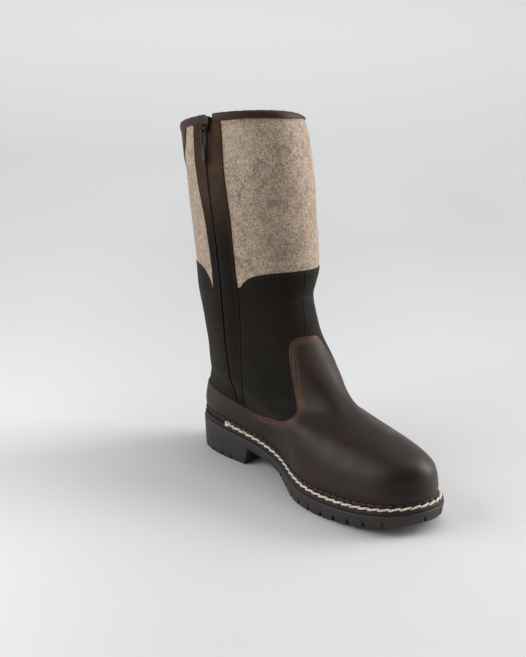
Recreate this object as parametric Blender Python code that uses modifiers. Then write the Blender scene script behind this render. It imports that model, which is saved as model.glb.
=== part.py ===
"""Winter boot, left foot: felt and leather upper with an inner-side zip on a lugged rubber sole.

Frame: toe towards +X, inner (medial) side towards -Y, floor at z = 0, origin under the middle of the box.
The construction works in millimetres from the back of the heel along the sole's axis, and is placed at the end.
"""
import math

import bmesh
import bpy
import numpy as np
from mathutils import Matrix, Vector

# ---------------------------------------------------------------- driving sizes (millimetres)
MM = 0.001
GAP = 0.3                   # running gap between pieces that touch
SOLE_LENGTH = 300.0
WELT_THICK = 3.2
WELT_INSET = 0.8            # welt edge stands back from the rubber
RUBBER_THICK = 9.0          # rubber at the waist
TREAD_TAPER = 1.0           # sole wall leans in towards the floor
HEEL_BREAST = 86.0          # heel breast at the sole's edges
BREAST_HOLLOW = 6.0         # how far the breast curves in at the axis
TREAD_START = 141.0         # rear edge of the forefoot tread
LUG_DEPTH = 4.5
GROOVE_OUT = 2.4            # groove width at the edge and at the channel
GROOVE_IN = 2.0
GROOVE_KNOT = 5.0           # widening along each groove
LUGS_PER_SIDE = 10
WALL = 3.0                  # upper: leather or felt with its lining
INSOLE_THICK = 6.0
ZIP_SLIT = 6.0              # slit in the upper
ZIP_THICK = 2.2             # coil and tape
ZIP_DEPTH = 0.4             # chain lies below the upper's face
SLIDER_LONG, SLIDER_WIDE, SLIDER_THICK = 15.0, 8.0, 3.2
SLIDER_AT = 0.978           # along the upper's height
BRIDGE_RADIUS, BRIDGE_WIRE = 2.7, 0.9
LOOP_LONG, LOOP_WIDE, LOOP_WIRE = 16.0, 6.0, 0.8
TAB_LONG, TAB_WIDE, TAB_THICK, TAB_HOLE = 17.0, 4.0, 1.4, 0.9
CENTRE_X, CENTRE_Y = 135.76, 0.13   # middle of the box, from the heel's back and the axis

# Sole outline: share of the length from the heel, half widths outside and inside of the axis
OUTLINE_COLUMNS = ("share", "lateral", "medial")
OUTLINE = np.array([
    (0.00, 0.0, 0.0),
    (0.03, 27.0, 26.5),
    (0.08, 36.5, 34.5),
    (0.15, 40.3, 37.2),
    (0.25, 42.0, 34.6),
    (0.35, 44.0, 31.4),
    (0.42, 47.8, 32.0),
    (0.50, 55.0, 37.2),
    (0.58, 60.0, 46.2),
    (0.65, 61.0, 50.8),
    (0.72, 58.8, 51.2),
    (0.80, 52.9, 48.4),
    (0.88, 44.4, 43.4),
    (0.95, 31.6, 32.6),
    (0.98, 21.0, 22.2),
    (1.00, 0.0, 0.0),
])
BALL_LATERAL, BALL_MEDIAL = 61.0, 51.2

# Bottom curve: height of the welt's top along the length (heel pitch, ball, toe spring)
WELT_COLUMNS = ("x", "height")
WELT_CURVE = np.array([
    (0.0, 35.0), (40.0, 33.0), (80.0, 29.5), (120.0, 24.5), (160.0, 19.5),
    (190.0, 17.3), (220.0, 16.8), (250.0, 18.2), (280.0, 21.5), (300.0, 24.5),
])
# Forefoot tread: height of the walking face
TREAD_COLUMNS = ("x", "height")
TREAD_CURVE = np.array([
    (141.0, 7.0), (160.0, 2.6), (182.0, 0.0), (215.0, 0.0), (240.0, 1.4), (270.0, 5.2), (300.0, 11.5),
])

# Sections of the upper from the feather line to the collar.
# back and front ends in the side view, sideways place of the front end, half widths, where along the
# section it is widest, how pointed it is at front, how much it keeps of the sole's outline, sideways tilt
SECTION_COLUMNS = ("back_x", "back_z", "front_x", "front_z", "front_y", "lateral", "medial",
                   "widest", "point", "last", "tilt")
SECTIONS = np.array([
    (4.0, 35.2, 290.0, 23.1, 0.0, 50.5, 42.5, 0.62, 0.00, 1.00, 0.00),
    (0.5, 42.0, 294.0, 29.0, 0.0, 52.0, 45.0, 0.62, 0.00, 1.00, 0.00),
    (-1.5, 52.0, 294.5, 40.0, 0.0, 52.5, 45.5, 0.60, 0.10, 0.85, 0.00),
    (-2.0, 61.0, 291.5, 53.0, -0.5, 51.0, 45.0, 0.56, 0.30, 0.62, 0.00),
    (-2.0, 69.0, 281.5, 61.5, -1.0, 44.0, 44.0, 0.52, 0.60, 0.40, 0.00),
    (-1.5, 77.0, 253.0, 68.5, -1.5, 37.5, 43.0, 0.48, 1.20, 0.22, 0.00),
    (-1.0, 86.0, 208.5, 78.5, -2.0, 37.5, 42.5, 0.45, 1.60, 0.10, 0.00),
    (-1.0, 96.0, 186.5, 91.5, -2.5, 39.0, 42.5, 0.45, 0.70, 0.04, 0.00),
    (-1.0, 108.0, 170.5, 106.0, -2.5, 41.5, 43.5, 0.46, 0.20, 0.00, 0.00),
    (-1.5, 122.0, 150.5, 126.0, -2.0, 41.0, 45.0, 0.47, 0.30, 0.00, 0.00),
    (-4.0, 142.0, 136.0, 147.0, -1.0, 41.5, 47.5, 0.48, 0.30, 0.00, 0.02),
    (-6.5, 157.0, 129.0, 165.0, -1.0, 43.5, 49.0, 0.48, 0.20, 0.00, 0.04),
    (-8.5, 172.0, 131.0, 183.0, 0.0, 47.0, 50.5, 0.49, 0.10, 0.00, 0.05),
    (-12.5, 205.0, 128.0, 220.0, 0.0, 49.5, 53.0, 0.50, 0.05, 0.00, 0.08),
    (-19.0, 245.0, 120.0, 264.0, 0.0, 52.5, 54.0, 0.50, 0.00, 0.00, 0.10),
    (-28.0, 298.0, 104.0, 327.0, 0.0, 53.5, 53.5, 0.50, 0.00, 0.00, 0.13),
])
BOTTOM_CURVE_ENDS = 0.42    # above this share of the height the sections are straight in the side view

# Zip: distance of its middle from the heel's back, by share of the upper's height
ZIP_COLUMNS = ("height", "x")
ZIP_LINE = np.array([
    (0.00, 74.0), (0.10, 74.0), (0.21, 73.8), (0.33, 73.5), (0.43, 73.2), (0.55, 72.0), (0.66, 69.6),
    (0.73, 66.0), (0.81, 60.6), (0.87, 58.0), (0.93, 57.2), (1.00, 57.2),
])
ZIP_FOOT = 0.10             # lower end of the slit, share of the upper's height

# Facets
SOLE_STATIONS = 40
BACK_COLUMNS, FRONT_COLUMNS, OUTER_COLUMNS = 11, 14, 25
UPPER_ROWS = (0.0, 0.021, 0.054, 0.086, 0.12, 0.145, 0.17, 0.2, 0.235, 0.262, 0.29, 0.315, 0.34, 0.37, 0.4,
              0.435, 0.47, 0.52, 0.573, 0.63, 0.69, 0.755, 0.82, 0.91, 1.0)


# ---------------------------------------------------------------- curves
def spline(knots, values, x):
    """Natural cubic spline through the rows of a table."""
    knots, values, x = (np.asarray(a, float) for a in (knots, values, x))
    n, step = len(knots), np.diff(knots)
    system, right = np.eye(n), np.zeros((n,) + values.shape[1:])
    for i in range(1, n - 1):
        system[i, i - 1:i + 2] = step[i - 1], 2 * (step[i - 1] + step[i]), step[i]
        right[i] = 6 * ((values[i + 1] - values[i]) / step[i] - (values[i] - values[i - 1]) / step[i - 1])
    bend = np.linalg.solve(system, right)
    i = np.clip(np.searchsorted(knots, x) - 1, 0, n - 2)
    wide = (Ellipsis,) + (None,) * (values.ndim - 1)
    before, after, h = (knots[i + 1] - x)[wide], (x - knots[i])[wide], step[i][wide]
    return ((bend[i] * before ** 3 + bend[i + 1] * after ** 3) / (6 * h)
            + (values[i] / h - bend[i] * h / 6) * before
            + (values[i + 1] / h - bend[i + 1] * h / 6) * after)


def smooth(table, x):
    """Curve through a two-column table, flat at rows where the slope turns."""
    knots, values = table[:, 0], table[:, 1]
    step = np.diff(knots)
    rise = np.diff(values) / step
    slope = np.zeros(len(knots))
    slope[0], slope[-1] = rise[0], rise[-1]
    for i in range(1, len(knots) - 1):
        if rise[i - 1] * rise[i] > 0:
            a, b = 2 * step[i] + step[i - 1], step[i] + 2 * step[i - 1]
            slope[i] = (a + b) / (a / rise[i - 1] + b / rise[i])
    x = np.clip(np.asarray(x, float), knots[0], knots[-1])
    i = np.clip(np.searchsorted(knots, x, side="right") - 1, 0, len(knots) - 2)
    t, h = (x - knots[i]) / step[i], step[i]
    return (values[i] * (1 + 2 * t) * (1 - t) ** 2 + slope[i] * h * t * (1 - t) ** 2
            + values[i + 1] * t * t * (3 - 2 * t) + slope[i + 1] * h * t * t * (t - 1))


def half_widths(share):
    """Lateral and medial half width of the sole; round ends come from turning along the length."""
    turn = np.arccos(np.clip(1 - 2 * np.asarray(share, float), -1, 1))
    return spline(np.arccos(1 - 2 * OUTLINE[:, 0]), OUTLINE[:, 1:], turn)


def welt_top(x):
    return spline(WELT_CURVE[:, 0], WELT_CURVE[:, 1], np.clip(x, 0, SOLE_LENGTH))


def rubber_top(x):
    return welt_top(x) - WELT_THICK - GAP


def tread(x):
    return smooth(TREAD_CURVE, x)


# ---------------------------------------------------------------- the upper's own function
middles = (SECTIONS[:, 0:2] + SECTIONS[:, 2:4]) / 2
HEIGHTS = np.r_[0, np.cumsum(np.linalg.norm(np.diff(middles, axis=0), axis=1))]
HEIGHTS /= HEIGHTS[-1]


def section(height):
    row = spline(HEIGHTS, SECTIONS, height)
    return {name: row[..., k] for k, name in enumerate(SECTION_COLUMNS)}


def upper_face(turn, height):
    """Outer face of the upper. turn: 0 at the back, pi at the front by the inner side, 2 pi at the back again."""
    turn, height = np.broadcast_arrays(np.asarray(turn, float), np.asarray(height, float))
    c = section(height)
    outside = turn > math.pi
    share = (1 - np.cos(turn)) / 2
    reach = np.where(outside, c["lateral"], c["medial"])
    ahead = share >= c["widest"]
    off = np.where(ahead, (share - c["widest"]) / (1 - c["widest"]), (c["widest"] - share) / c["widest"])
    oval = reach * np.sqrt(np.clip(1 - off ** 2, 0, 1) / (1 + np.where(ahead, c["point"], 0) * off ** 2))
    sides = half_widths(share)
    foot = np.where(outside, sides[..., 0] * c["lateral"] / BALL_LATERAL, sides[..., 1] * c["medial"] / BALL_MEDIAL)
    width = c["last"] * foot + (1 - c["last"]) * oval
    x = c["back_x"] + (c["front_x"] - c["back_x"]) * share
    y = c["front_y"] * share + np.where(outside, width, -width)
    chord = welt_top(c["back_x"]) + (welt_top(c["front_x"]) - welt_top(c["back_x"])) * share
    follow = np.clip(1 - height / BOTTOM_CURVE_ENDS, 0, 1)
    z = c["back_z"] + (c["front_z"] - c["back_z"]) * share + (welt_top(x) - chord) * follow - c["tilt"] * y
    return np.stack([x, y, z], -1)


def upper_normal(turn, height):
    e = 1e-3
    along = upper_face(turn + e, height) - upper_face(turn - e, height)
    up = upper_face(turn, np.minimum(height + e, 1)) - upper_face(turn, np.maximum(height - e, 0))
    n = np.cross(along, up)
    return n / np.linalg.norm(n, axis=-1, keepdims=True)


def zip_turn(height):
    """Turn at which the zip's middle lies."""
    c = section(height)
    x = spline(ZIP_LINE[:, 0], ZIP_LINE[:, 1], height)
    return np.arccos(1 - 2 * (x - c["back_x"]) / (c["front_x"] - c["back_x"]))


def zip_half_turn(height, half):
    """Turn that spans a half width in millimetres beside the zip."""
    t = zip_turn(height)
    per = np.linalg.norm(upper_face(t + 0.02, height) - upper_face(t - 0.02, height), axis=-1) / 0.04
    return half / per


# ---------------------------------------------------------------- scene and mesh helpers
for old in list(bpy.data.objects):
    bpy.data.objects.remove(old, do_unlink=True)

boot = bpy.data.collections.new("winter_boot")
cutters = bpy.data.collections.new("cutters")
for group in (boot, cutters):
    bpy.context.scene.collection.children.link(group)


def finish_material(name, colour, roughness, metallic=0.0):
    m = bpy.data.materials.new(name)
    m.use_nodes = True
    shader = m.node_tree.nodes["Principled BSDF"]
    shader.inputs["Base Color"].default_value = (*colour, 1)
    shader.inputs["Roughness"].default_value = roughness
    shader.inputs["Metallic"].default_value = metallic
    return m


def add(name, points, faces, material=None, group=None, recalc=True):
    """Object from points in millimetres and quads or triangles worked out by a loft."""
    mesh = bpy.data.meshes.new(name)
    mesh.from_pydata([tuple(p) for p in np.asarray(points, float) * MM], [], faces)
    mesh.validate()
    if recalc:
        bm = bmesh.new()
        bm.from_mesh(mesh)
        bmesh.ops.recalc_face_normals(bm, faces=bm.faces)
        bm.to_mesh(mesh)
        bm.free()
    obj = bpy.data.objects.new(name, mesh)
    (group or boot).objects.link(obj)
    if material:
        mesh.materials.append(material)
    if group is cutters:
        obj.hide_render = True
        obj.display_type = "WIRE"
    return obj


def boolean(obj, cutter, operation):
    m = obj.modifiers.new(operation.lower(), "BOOLEAN")
    m.operation = operation
    m.solver = "EXACT"
    m.object = cutter


def prisms(name, bands):
    """Joined upright prisms. Each is a band of paired edge points with the heights of its two ends."""
    points, faces = [], []
    for left, right, low, high in bands:
        n, base = len(left), len(points)
        for height in (low, high):
            for side in (left, right):
                points += [(x, y, z) for (x, y), z in zip(side, np.broadcast_to(height, n))]
        a, b, c, d = (base + n * k for k in range(4))       # lower left and right, upper left and right
        for i in range(n - 1):
            faces += [(a + i, b + i, b + i + 1, a + i + 1), (c + i, c + i + 1, d + i + 1, d + i),
                      (a + i, a + i + 1, c + i + 1, c + i), (b + i, d + i, d + i + 1, b + i + 1)]
        for i in (0, n - 1):
            faces.append((a + i, b + i, d + i, c + i))
    return add(name, points, faces, group=cutters)


rubber = finish_material("rubber", (0.045, 0.044, 0.042), 0.75)
welt_leather = finish_material("welt_leather", (0.06, 0.035, 0.022), 0.6)
lining = finish_material("insole_lining", (0.35, 0.28, 0.2), 0.9)
upper_leather = finish_material("upper_leather", (0.06, 0.04, 0.032), 0.5)
coil = finish_material("zip_coil", (0.012, 0.012, 0.012), 0.5)
black_metal = finish_material("slider_metal", (0.02, 0.02, 0.02), 0.4, 0.9)
grey_metal = finish_material("pull_metal", (0.35, 0.33, 0.32), 0.35, 1.0)


# ---------------------------------------------------------------- outsole
def sole_stations():
    """Places along the sole, closer at the round ends, with a pair at each step of the underside."""
    ends = np.linspace(0.08, math.pi - 0.08, SOLE_STATIONS)
    plain = SOLE_LENGTH * (1 - np.cos(ends)) / 2
    steps = (HEEL_BREAST, TREAD_START)
    kept = [x for x in plain if all(abs(x - s) > 5 for s in steps)]
    return np.array(sorted(kept + [s - 2 for s in steps] + [s + 2 for s in steps]))


ACROSS = np.array([-1.0, -0.5, 0.0, 0.5, 1.0])


def outsole_points():
    top, bottom = [], []
    for x in sole_stations():
        lateral, medial = half_widths(x / SOLE_LENGTH)
        y = np.where(ACROSS < 0, ACROSS * medial, ACROSS * lateral)
        top.append(np.c_[np.full(5, x), y, np.full(5, rubber_top(x))])
        keep = 1 - TREAD_TAPER / max(lateral, 8.0)
        xb = np.full(5, TREAD_TAPER + x * (1 - 2 * TREAD_TAPER / SOLE_LENGTH))
        near = math.exp(-((x - HEEL_BREAST) / 12.0) ** 2) if x < HEEL_BREAST + 8 else 0.0
        xb = xb - near * BREAST_HOLLOW * (1 - ACROSS ** 2)
        if x < HEEL_BREAST:
            zb = np.zeros(5)
        elif x < TREAD_START:
            zb = rubber_top(xb) - RUBBER_THICK
        else:
            zb = tread(xb)
        bottom.append(np.c_[xb, y * keep, zb])
    return np.array(top), np.array(bottom)


top, bottom = outsole_points()
n, m = top.shape[:2]
points = np.concatenate([top.reshape(-1, 3), bottom.reshape(-1, 3)])
low = n * m
faces = []
for i in range(n - 1):
    for j in range(m - 1):
        a = i * m + j
        faces.append((a, a + 1, a + m + 1, a + m))
        faces.append((low + a, low + a + m, low + a + m + 1, low + a + 1))
    for j in (0, m - 1):
        a = i * m + j
        faces.append((a, a + m, low + a + m, low + a))
for i in (0, n - 1):
    for j in range(m - 1):
        a = i * m + j
        faces.append((a, a + 1, low + a + 1, low + a))
outsole = add("outsole", points, faces, rubber)


def edge_point(share, side):
    """Point on the sole's outline; side +1 outside, -1 inside."""
    lateral, medial = half_widths(share)
    return np.array([SOLE_LENGTH * share, lateral if side > 0 else -medial])


def groove(outer, inner, knot_at=0.6):
    """Outline of one groove from beyond the edge to the channel, with its knot."""
    way = inner - outer
    long = np.linalg.norm(way)
    way, side = way / long, np.array([-way[1], way[0]]) / long
    at = [(-6.0, GROOVE_OUT), (knot_at * long - 3, GROOVE_IN), (knot_at * long, GROOVE_KNOT),
          (knot_at * long + 3, GROOVE_IN), (long + 1.5, GROOVE_IN)]
    return [outer + way * d + side * w / 2 for d, w in at], [outer + way * d - side * w / 2 for d, w in at]


def channel_half(share):
    """Half widths of the forefoot's middle channel, narrowing to a round end near the toe."""
    left = math.sqrt(max(0.0, 1 - max(0.0, (share - 0.60) / 0.255) ** 2))
    return 24.0 * left, 15.5 * left


grooves = []
for k in range(LUGS_PER_SIDE):
    for side, first, pitch in ((1, 0.985, 0.0525), (-1, 0.9425, 0.0515)):
        share = first - pitch * k
        inner_share = share - 0.135 * max(0.0, (share - 0.51) / 0.475) ** 1.5
        half = channel_half(min(inner_share, 0.845))[0 if side > 0 else 1]
        outer = edge_point(share, side)
        inner = np.array([SOLE_LENGTH * inner_share, side * max(half, 3.5)])
        left, right = groove(outer, inner)
        grooves.append((left, right, -3.0, [tread((p[0] + q[0]) / 2) + LUG_DEPTH for p, q in zip(left, right)]))
left, right = groove(np.array([SOLE_LENGTH, -3.0]), np.array([SOLE_LENGTH * 0.855, -1.0]))
grooves.append((left, right, -3.0, [tread((p[0] + q[0]) / 2) + LUG_DEPTH for p, q in zip(left, right)]))
grooves_front = prisms("forefoot_grooves", grooves)
shares = np.r_[np.linspace(TREAD_START / SOLE_LENGTH - 0.02, 0.78, 9), 0.81, 0.835, 0.853]
left = [np.array([SOLE_LENGTH * s, max(channel_half(s)[0], 1.2)]) for s in shares]
right = [np.array([SOLE_LENGTH * s, -max(channel_half(s)[1], 1.2)]) for s in shares]
channel_front = prisms("forefoot_channel", [(left, right, -3.0, [tread(x) + LUG_DEPTH - 0.2 for x, y in left])])

# Grooves across the heel, from its back: at the edge and at the channel
HEEL_GROOVE_COLUMNS = ("edge_x", "channel_x")
HEEL_GROOVES = ((66.5, 67.0), (52.5, 53.5), (38.0, 45.0), (24.0, 37.5))
HEEL_FAN = (-40.0, -14.0, 14.0, 40.0)       # grooves round the heel's back, degrees from the axis
HEEL_FAN_AT, HEEL_FAN_FROM = 42.0, 8.0      # where they would meet, and how far from there they start
HEEL_CHANNEL, HEEL_CHANNEL_END = 9.5, 44.0  # half width, middle of the round end
grooves = []
for edge_x, channel_x in HEEL_GROOVES:
    for side in (1, -1):
        outer = edge_point(edge_x / SOLE_LENGTH, side)
        grooves.append((*groove(outer, np.array([channel_x, side * 8.0]), 0.58), -3.0, LUG_DEPTH))
for angle in HEEL_FAN:
    a = math.radians(angle)
    way = np.array([-math.cos(a), math.sin(a)])
    hub = np.array([HEEL_FAN_AT, 0.0])
    grooves.append((*groove(hub + way * 42.0, hub + way * HEEL_FAN_FROM, 0.62), -3.0, LUG_DEPTH))
grooves_heel = prisms("heel_grooves", grooves)
sweep = [(HEEL_CHANNEL_END - HEEL_CHANNEL * math.cos(a), HEEL_CHANNEL * math.sin(a)) for a in (0.25, 0.55, 0.9, 1.25, math.pi / 2)]
sweep.append((HEEL_BREAST + 6, HEEL_CHANNEL))
channel_heel = prisms("heel_channel", [([(x, w) for x, w in sweep], [(x, -w) for x, w in sweep], -3.0, LUG_DEPTH - 0.2)])
for cutter in (channel_front, grooves_front, channel_heel, grooves_heel):
    boolean(outsole, cutter, "DIFFERENCE")


# ---------------------------------------------------------------- welt and insole
def loop(turns, inset, source):
    """Closed outline moved inwards by a width."""
    p = source(turns)
    ahead, behind = np.roll(p, -1, axis=0), np.roll(p, 1, axis=0)
    way = ahead - behind
    way /= np.linalg.norm(way, axis=1, keepdims=True)
    return p + np.c_[-way[:, 1], way[:, 0]] * inset


def sole_outline(turns):
    share = (1 - np.cos(turns)) / 2
    sides = half_widths(share)
    return np.c_[SOLE_LENGTH * share, np.where(turns > math.pi, sides[:, 0], -sides[:, 1])]


def feather_line(turns):
    return upper_face(turns, 0.0)[:, :2]


ring = np.linspace(0, 2 * math.pi, 56, endpoint=False)
outer, inner = loop(ring, WELT_INSET, sole_outline), loop(ring, WALL + 0.6, feather_line)
count = len(ring)
levels = [np.c_[o, welt_top(o[:, 0]) - d] for o, d in
          ((outer, WELT_THICK), (outer, 0.0), (inner, 0.0), (inner, WELT_THICK))]
faces = [(k * count + i, k * count + (i + 1) % count, (k + 1) % 4 * count + (i + 1) % count, (k + 1) % 4 * count + i)
         for k in range(4) for i in range(count)]
welt = add("welt", np.concatenate(levels), faces, welt_leather)

edge = loop(ring, WALL + 1.6, feather_line)
levels = [np.c_[edge, rubber_top(edge[:, 0]) + GAP + h] for h in (0.0, INSOLE_THICK)]
faces = [(i, (i + 1) % count, count + (i + 1) % count, count + i) for i in range(count)]
half = count // 2
for base in (0, count):
    faces.append((base, base + 1, base + count - 1))
    faces += [(base + i, base + i + 1, base + count - i - 1, base + count - i) for i in range(1, half - 1)]
    faces.append((base + half - 1, base + half, base + half + 1))
insole = add("insole", np.concatenate(levels), faces, lining)


# ---------------------------------------------------------------- upper: open surface with its wall
def upper_turns(height):
    """Columns round the upper; the first and last run along the two sides of the zip's slit."""
    middle, side = float(zip_turn(height)), float(zip_half_turn(height, ZIP_SLIT / 2))
    front = np.linspace(middle + side, math.pi, FRONT_COLUMNS, endpoint=False)
    outside = np.linspace(math.pi, 2 * math.pi, OUTER_COLUMNS, endpoint=False)
    back = np.linspace(2 * math.pi, 2 * math.pi + middle - side, BACK_COLUMNS)
    return np.r_[front, outside, back] % (2 * math.pi)


rows = [upper_face(upper_turns(h), h) for h in UPPER_ROWS]
columns = len(rows[0])
faces = []
for r in range(len(rows) - 1):
    for k in range(columns):
        if k == columns - 1 and UPPER_ROWS[r] >= ZIP_FOOT - 1e-9:
            continue
        a, b = r * columns + k, r * columns + (k + 1) % columns
        faces.append((a, b, b + columns, a + columns))
upper = add("upper", np.concatenate(rows), faces, upper_leather, recalc=False)
wall = upper.modifiers.new("wall", "SOLIDIFY")
wall.thickness = WALL * MM
wall.offset = -1
wall.use_even_offset = True
wall.use_rim = True

# ---------------------------------------------------------------- zip
foot = next(h for h in UPPER_ROWS if h >= ZIP_FOOT - 1e-9)
heights = [foot + 0.004] + [h for h in UPPER_ROWS if h > foot + 0.004][:-1] + [0.996]
half = ZIP_SLIT / 2 - GAP
rows = []
for h in heights:
    t, side = zip_turn(h), zip_half_turn(h, half)
    for turn, depth in ((t - side, ZIP_DEPTH), (t + side, ZIP_DEPTH), (t + side, ZIP_DEPTH + ZIP_THICK),
                        (t - side, ZIP_DEPTH + ZIP_THICK)):
        rows.append(upper_face(turn, h) - upper_normal(turn, h) * depth)
faces = [(r * 4 + k, r * 4 + (k + 1) % 4, r * 4 + 4 + (k + 1) % 4, r * 4 + 4 + k)
         for r in range(len(heights) - 1) for k in range(4)]
faces += [(3, 2, 1, 0), tuple(len(rows) - 4 + k for k in range(4))]
zip_chain = add("zip_chain", rows, faces, coil)


def axes_at(origin, out, up):
    """Placement with local Z outwards and local Y as near as possible to a direction."""
    z = Vector(out).normalized()
    x = Vector(up).cross(z).normalized()
    y = z.cross(x)
    place = Matrix((x, y, z)).transposed().to_4x4()
    place.translation = Vector(origin) * MM
    return place


def mesh_of(curve):
    """Mesh of a bevelled curve, caps welded, in the curve's place."""
    made = bpy.data.meshes.new_from_object(curve.evaluated_get(bpy.context.evaluated_depsgraph_get()))
    bm = bmesh.new()
    bm.from_mesh(made)
    bmesh.ops.remove_doubles(bm, verts=bm.verts, dist=1e-6)
    bmesh.ops.recalc_face_normals(bm, faces=bm.faces)
    bm.to_mesh(made)
    bm.free()
    obj = bpy.data.objects.new(curve.name + "_mesh", made)
    obj.matrix_world = curve.matrix_world
    bpy.data.objects.remove(curve, do_unlink=True)
    return obj


def wire(name, path, radius, closed):
    data = bpy.data.curves.new(name, "CURVE")
    data.dimensions = "3D"
    data.bevel_depth = radius * MM
    data.bevel_resolution = 2
    data.use_fill_caps = True
    run = data.splines.new("POLY")
    run.points.add(len(path) - 1)
    for point, place in zip(run.points, path):
        point.co = (place[0] * MM, place[1] * MM, place[2] * MM, 1)
    run.use_cyclic_u = closed
    obj = bpy.data.objects.new(name, data)
    bpy.context.scene.collection.objects.link(obj)
    bpy.context.view_layer.update()
    return mesh_of(obj)


def block(name, size, at, bevel):
    """Bevelled box with its middle at a point."""
    bm = bmesh.new()
    bmesh.ops.create_cube(bm, size=1)
    bmesh.ops.scale(bm, vec=Vector(size) * MM, verts=bm.verts)
    bmesh.ops.translate(bm, vec=Vector(at) * MM, verts=bm.verts)
    mesh = bpy.data.meshes.new(name)
    bm.to_mesh(mesh)
    bm.free()
    obj = bpy.data.objects.new(name, mesh)
    if bevel:
        soft = obj.modifiers.new("edges", "BEVEL")
        soft.width = bevel * MM
        soft.segments = 1
        soft.limit_method = "NONE"
    return obj


def as_cutter(obj, place):
    cutters.objects.link(obj)
    obj.matrix_world = place
    obj.hide_render = True
    obj.display_type = "WIRE"
    return obj


turn_at = float(zip_turn(SLIDER_AT))
seat = upper_face(turn_at, SLIDER_AT)
out = upper_normal(np.array(turn_at), np.array(SLIDER_AT))
run = upper_face(float(zip_turn(SLIDER_AT + 0.01)), SLIDER_AT + 0.01) - upper_face(float(zip_turn(SLIDER_AT - 0.01)), SLIDER_AT - 0.01)
rest = GAP + 0.25                                   # clear of the curved face on both sides of the slit
plate_place = axes_at(seat + out * (rest + SLIDER_THICK / 2), out, run)
zip_slider = block("zip_slider", (SLIDER_WIDE, SLIDER_LONG, SLIDER_THICK), (0, 0, 0), 1.1)
zip_slider.data.materials.append(black_metal)
boot.objects.link(zip_slider)
zip_slider.matrix_world = plate_place

pivot = seat + out * (rest + SLIDER_THICK + 1.75) - run / np.linalg.norm(run) * (SLIDER_LONG * 0.22)
level = np.array([out[0], out[1], 0.0])
pull_place = axes_at(pivot, level, (0, 0, 1))        # local X along the pivot, Y up, Z away from the shaft
arch = [(0, BRIDGE_RADIUS * math.cos(a), BRIDGE_RADIUS * math.sin(a)) for a in np.linspace(0, math.pi, 9)]
arch = [(0, arch[0][1], -3.0)] + arch + [(0, arch[-1][1], -3.0)]
bridge = as_cutter(wire("bridge", arch, BRIDGE_WIRE, False), pull_place)
boolean(zip_slider, bridge, "UNION")

loop_path = [(LOOP_WIDE / 2 * math.copysign(abs(math.cos(a)) ** 0.7, math.cos(a)) * (1 - 0.22 * (1 - math.sin(a)) / 2),
              -LOOP_LONG / 2 + LOOP_LONG / 2 * math.copysign(abs(math.sin(a)) ** 0.8, math.sin(a)), 0)
             for a in np.linspace(0, 2 * math.pi, 18, endpoint=False) + math.pi / 18]
zip_pull = wire("zip_pull_loop", loop_path, LOOP_WIRE, True)
zip_pull.name = "zip_pull"
zip_pull.data.materials.clear()
zip_pull.data.materials.append(grey_metal)
boot.objects.link(zip_pull)
zip_pull.matrix_world = pull_place
tab = as_cutter(block("tab", (TAB_WIDE, TAB_LONG, TAB_THICK), (0, -LOOP_LONG - TAB_LONG / 2 + 1.2, 0), 0.35), pull_place)
boolean(zip_pull, tab, "UNION")
bm = bmesh.new()
bmesh.ops.create_cone(bm, cap_ends=True, segments=10, radius1=TAB_HOLE * MM, radius2=TAB_HOLE * MM, depth=6 * MM)
bmesh.ops.translate(bm, vec=Vector((0, -LOOP_LONG - TAB_LONG + 3.4, 0)) * MM, verts=bm.verts)
hole_mesh = bpy.data.meshes.new("tab_hole")
bm.to_mesh(hole_mesh)
bm.free()
hole = as_cutter(bpy.data.objects.new("tab_hole", hole_mesh), pull_place)
boolean(zip_pull, hole, "DIFFERENCE")

# ---------------------------------------------------------------- place the boot over its origin
origin = bpy.data.objects.new("boot_origin", None)
boot.objects.link(origin)
for piece in list(boot.objects) + list(cutters.objects):
    if piece is not origin:
        piece.parent = origin
origin.location = (-CENTRE_X * MM, -CENTRE_Y * MM, 0)
bpy.context.view_layer.update()
for piece in boot.objects:
    if piece.type == "MESH":
        piece.data.shade_smooth()
        piece.data.set_sharp_from_angle(angle=math.radians(35))
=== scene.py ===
"""Winter boot, left foot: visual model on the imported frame.

Sizes are in millimetres from the back of the heel along the sole's axis (toe +X, zip side -Y), as in the part's source;
SHIFT carries them to the frame.
"""
import math

import bmesh
import bpy
import numpy as np
from mathutils import Matrix, Vector
from mathutils.kdtree import KDTree


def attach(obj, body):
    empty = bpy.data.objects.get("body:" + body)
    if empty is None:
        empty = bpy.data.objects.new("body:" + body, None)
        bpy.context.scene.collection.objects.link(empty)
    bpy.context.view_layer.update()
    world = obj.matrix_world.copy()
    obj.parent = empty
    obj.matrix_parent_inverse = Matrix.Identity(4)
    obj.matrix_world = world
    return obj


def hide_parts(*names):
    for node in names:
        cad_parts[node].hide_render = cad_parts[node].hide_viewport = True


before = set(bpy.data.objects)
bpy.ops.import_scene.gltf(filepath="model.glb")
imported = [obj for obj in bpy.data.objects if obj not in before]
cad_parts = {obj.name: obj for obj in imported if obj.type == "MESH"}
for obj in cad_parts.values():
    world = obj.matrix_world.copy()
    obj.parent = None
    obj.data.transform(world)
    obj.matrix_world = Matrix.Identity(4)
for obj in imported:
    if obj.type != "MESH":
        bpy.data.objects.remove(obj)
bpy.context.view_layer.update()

MM = 0.001
SHIFT = np.array([-135.76, -0.13, 0.0])
PI = math.pi

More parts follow.
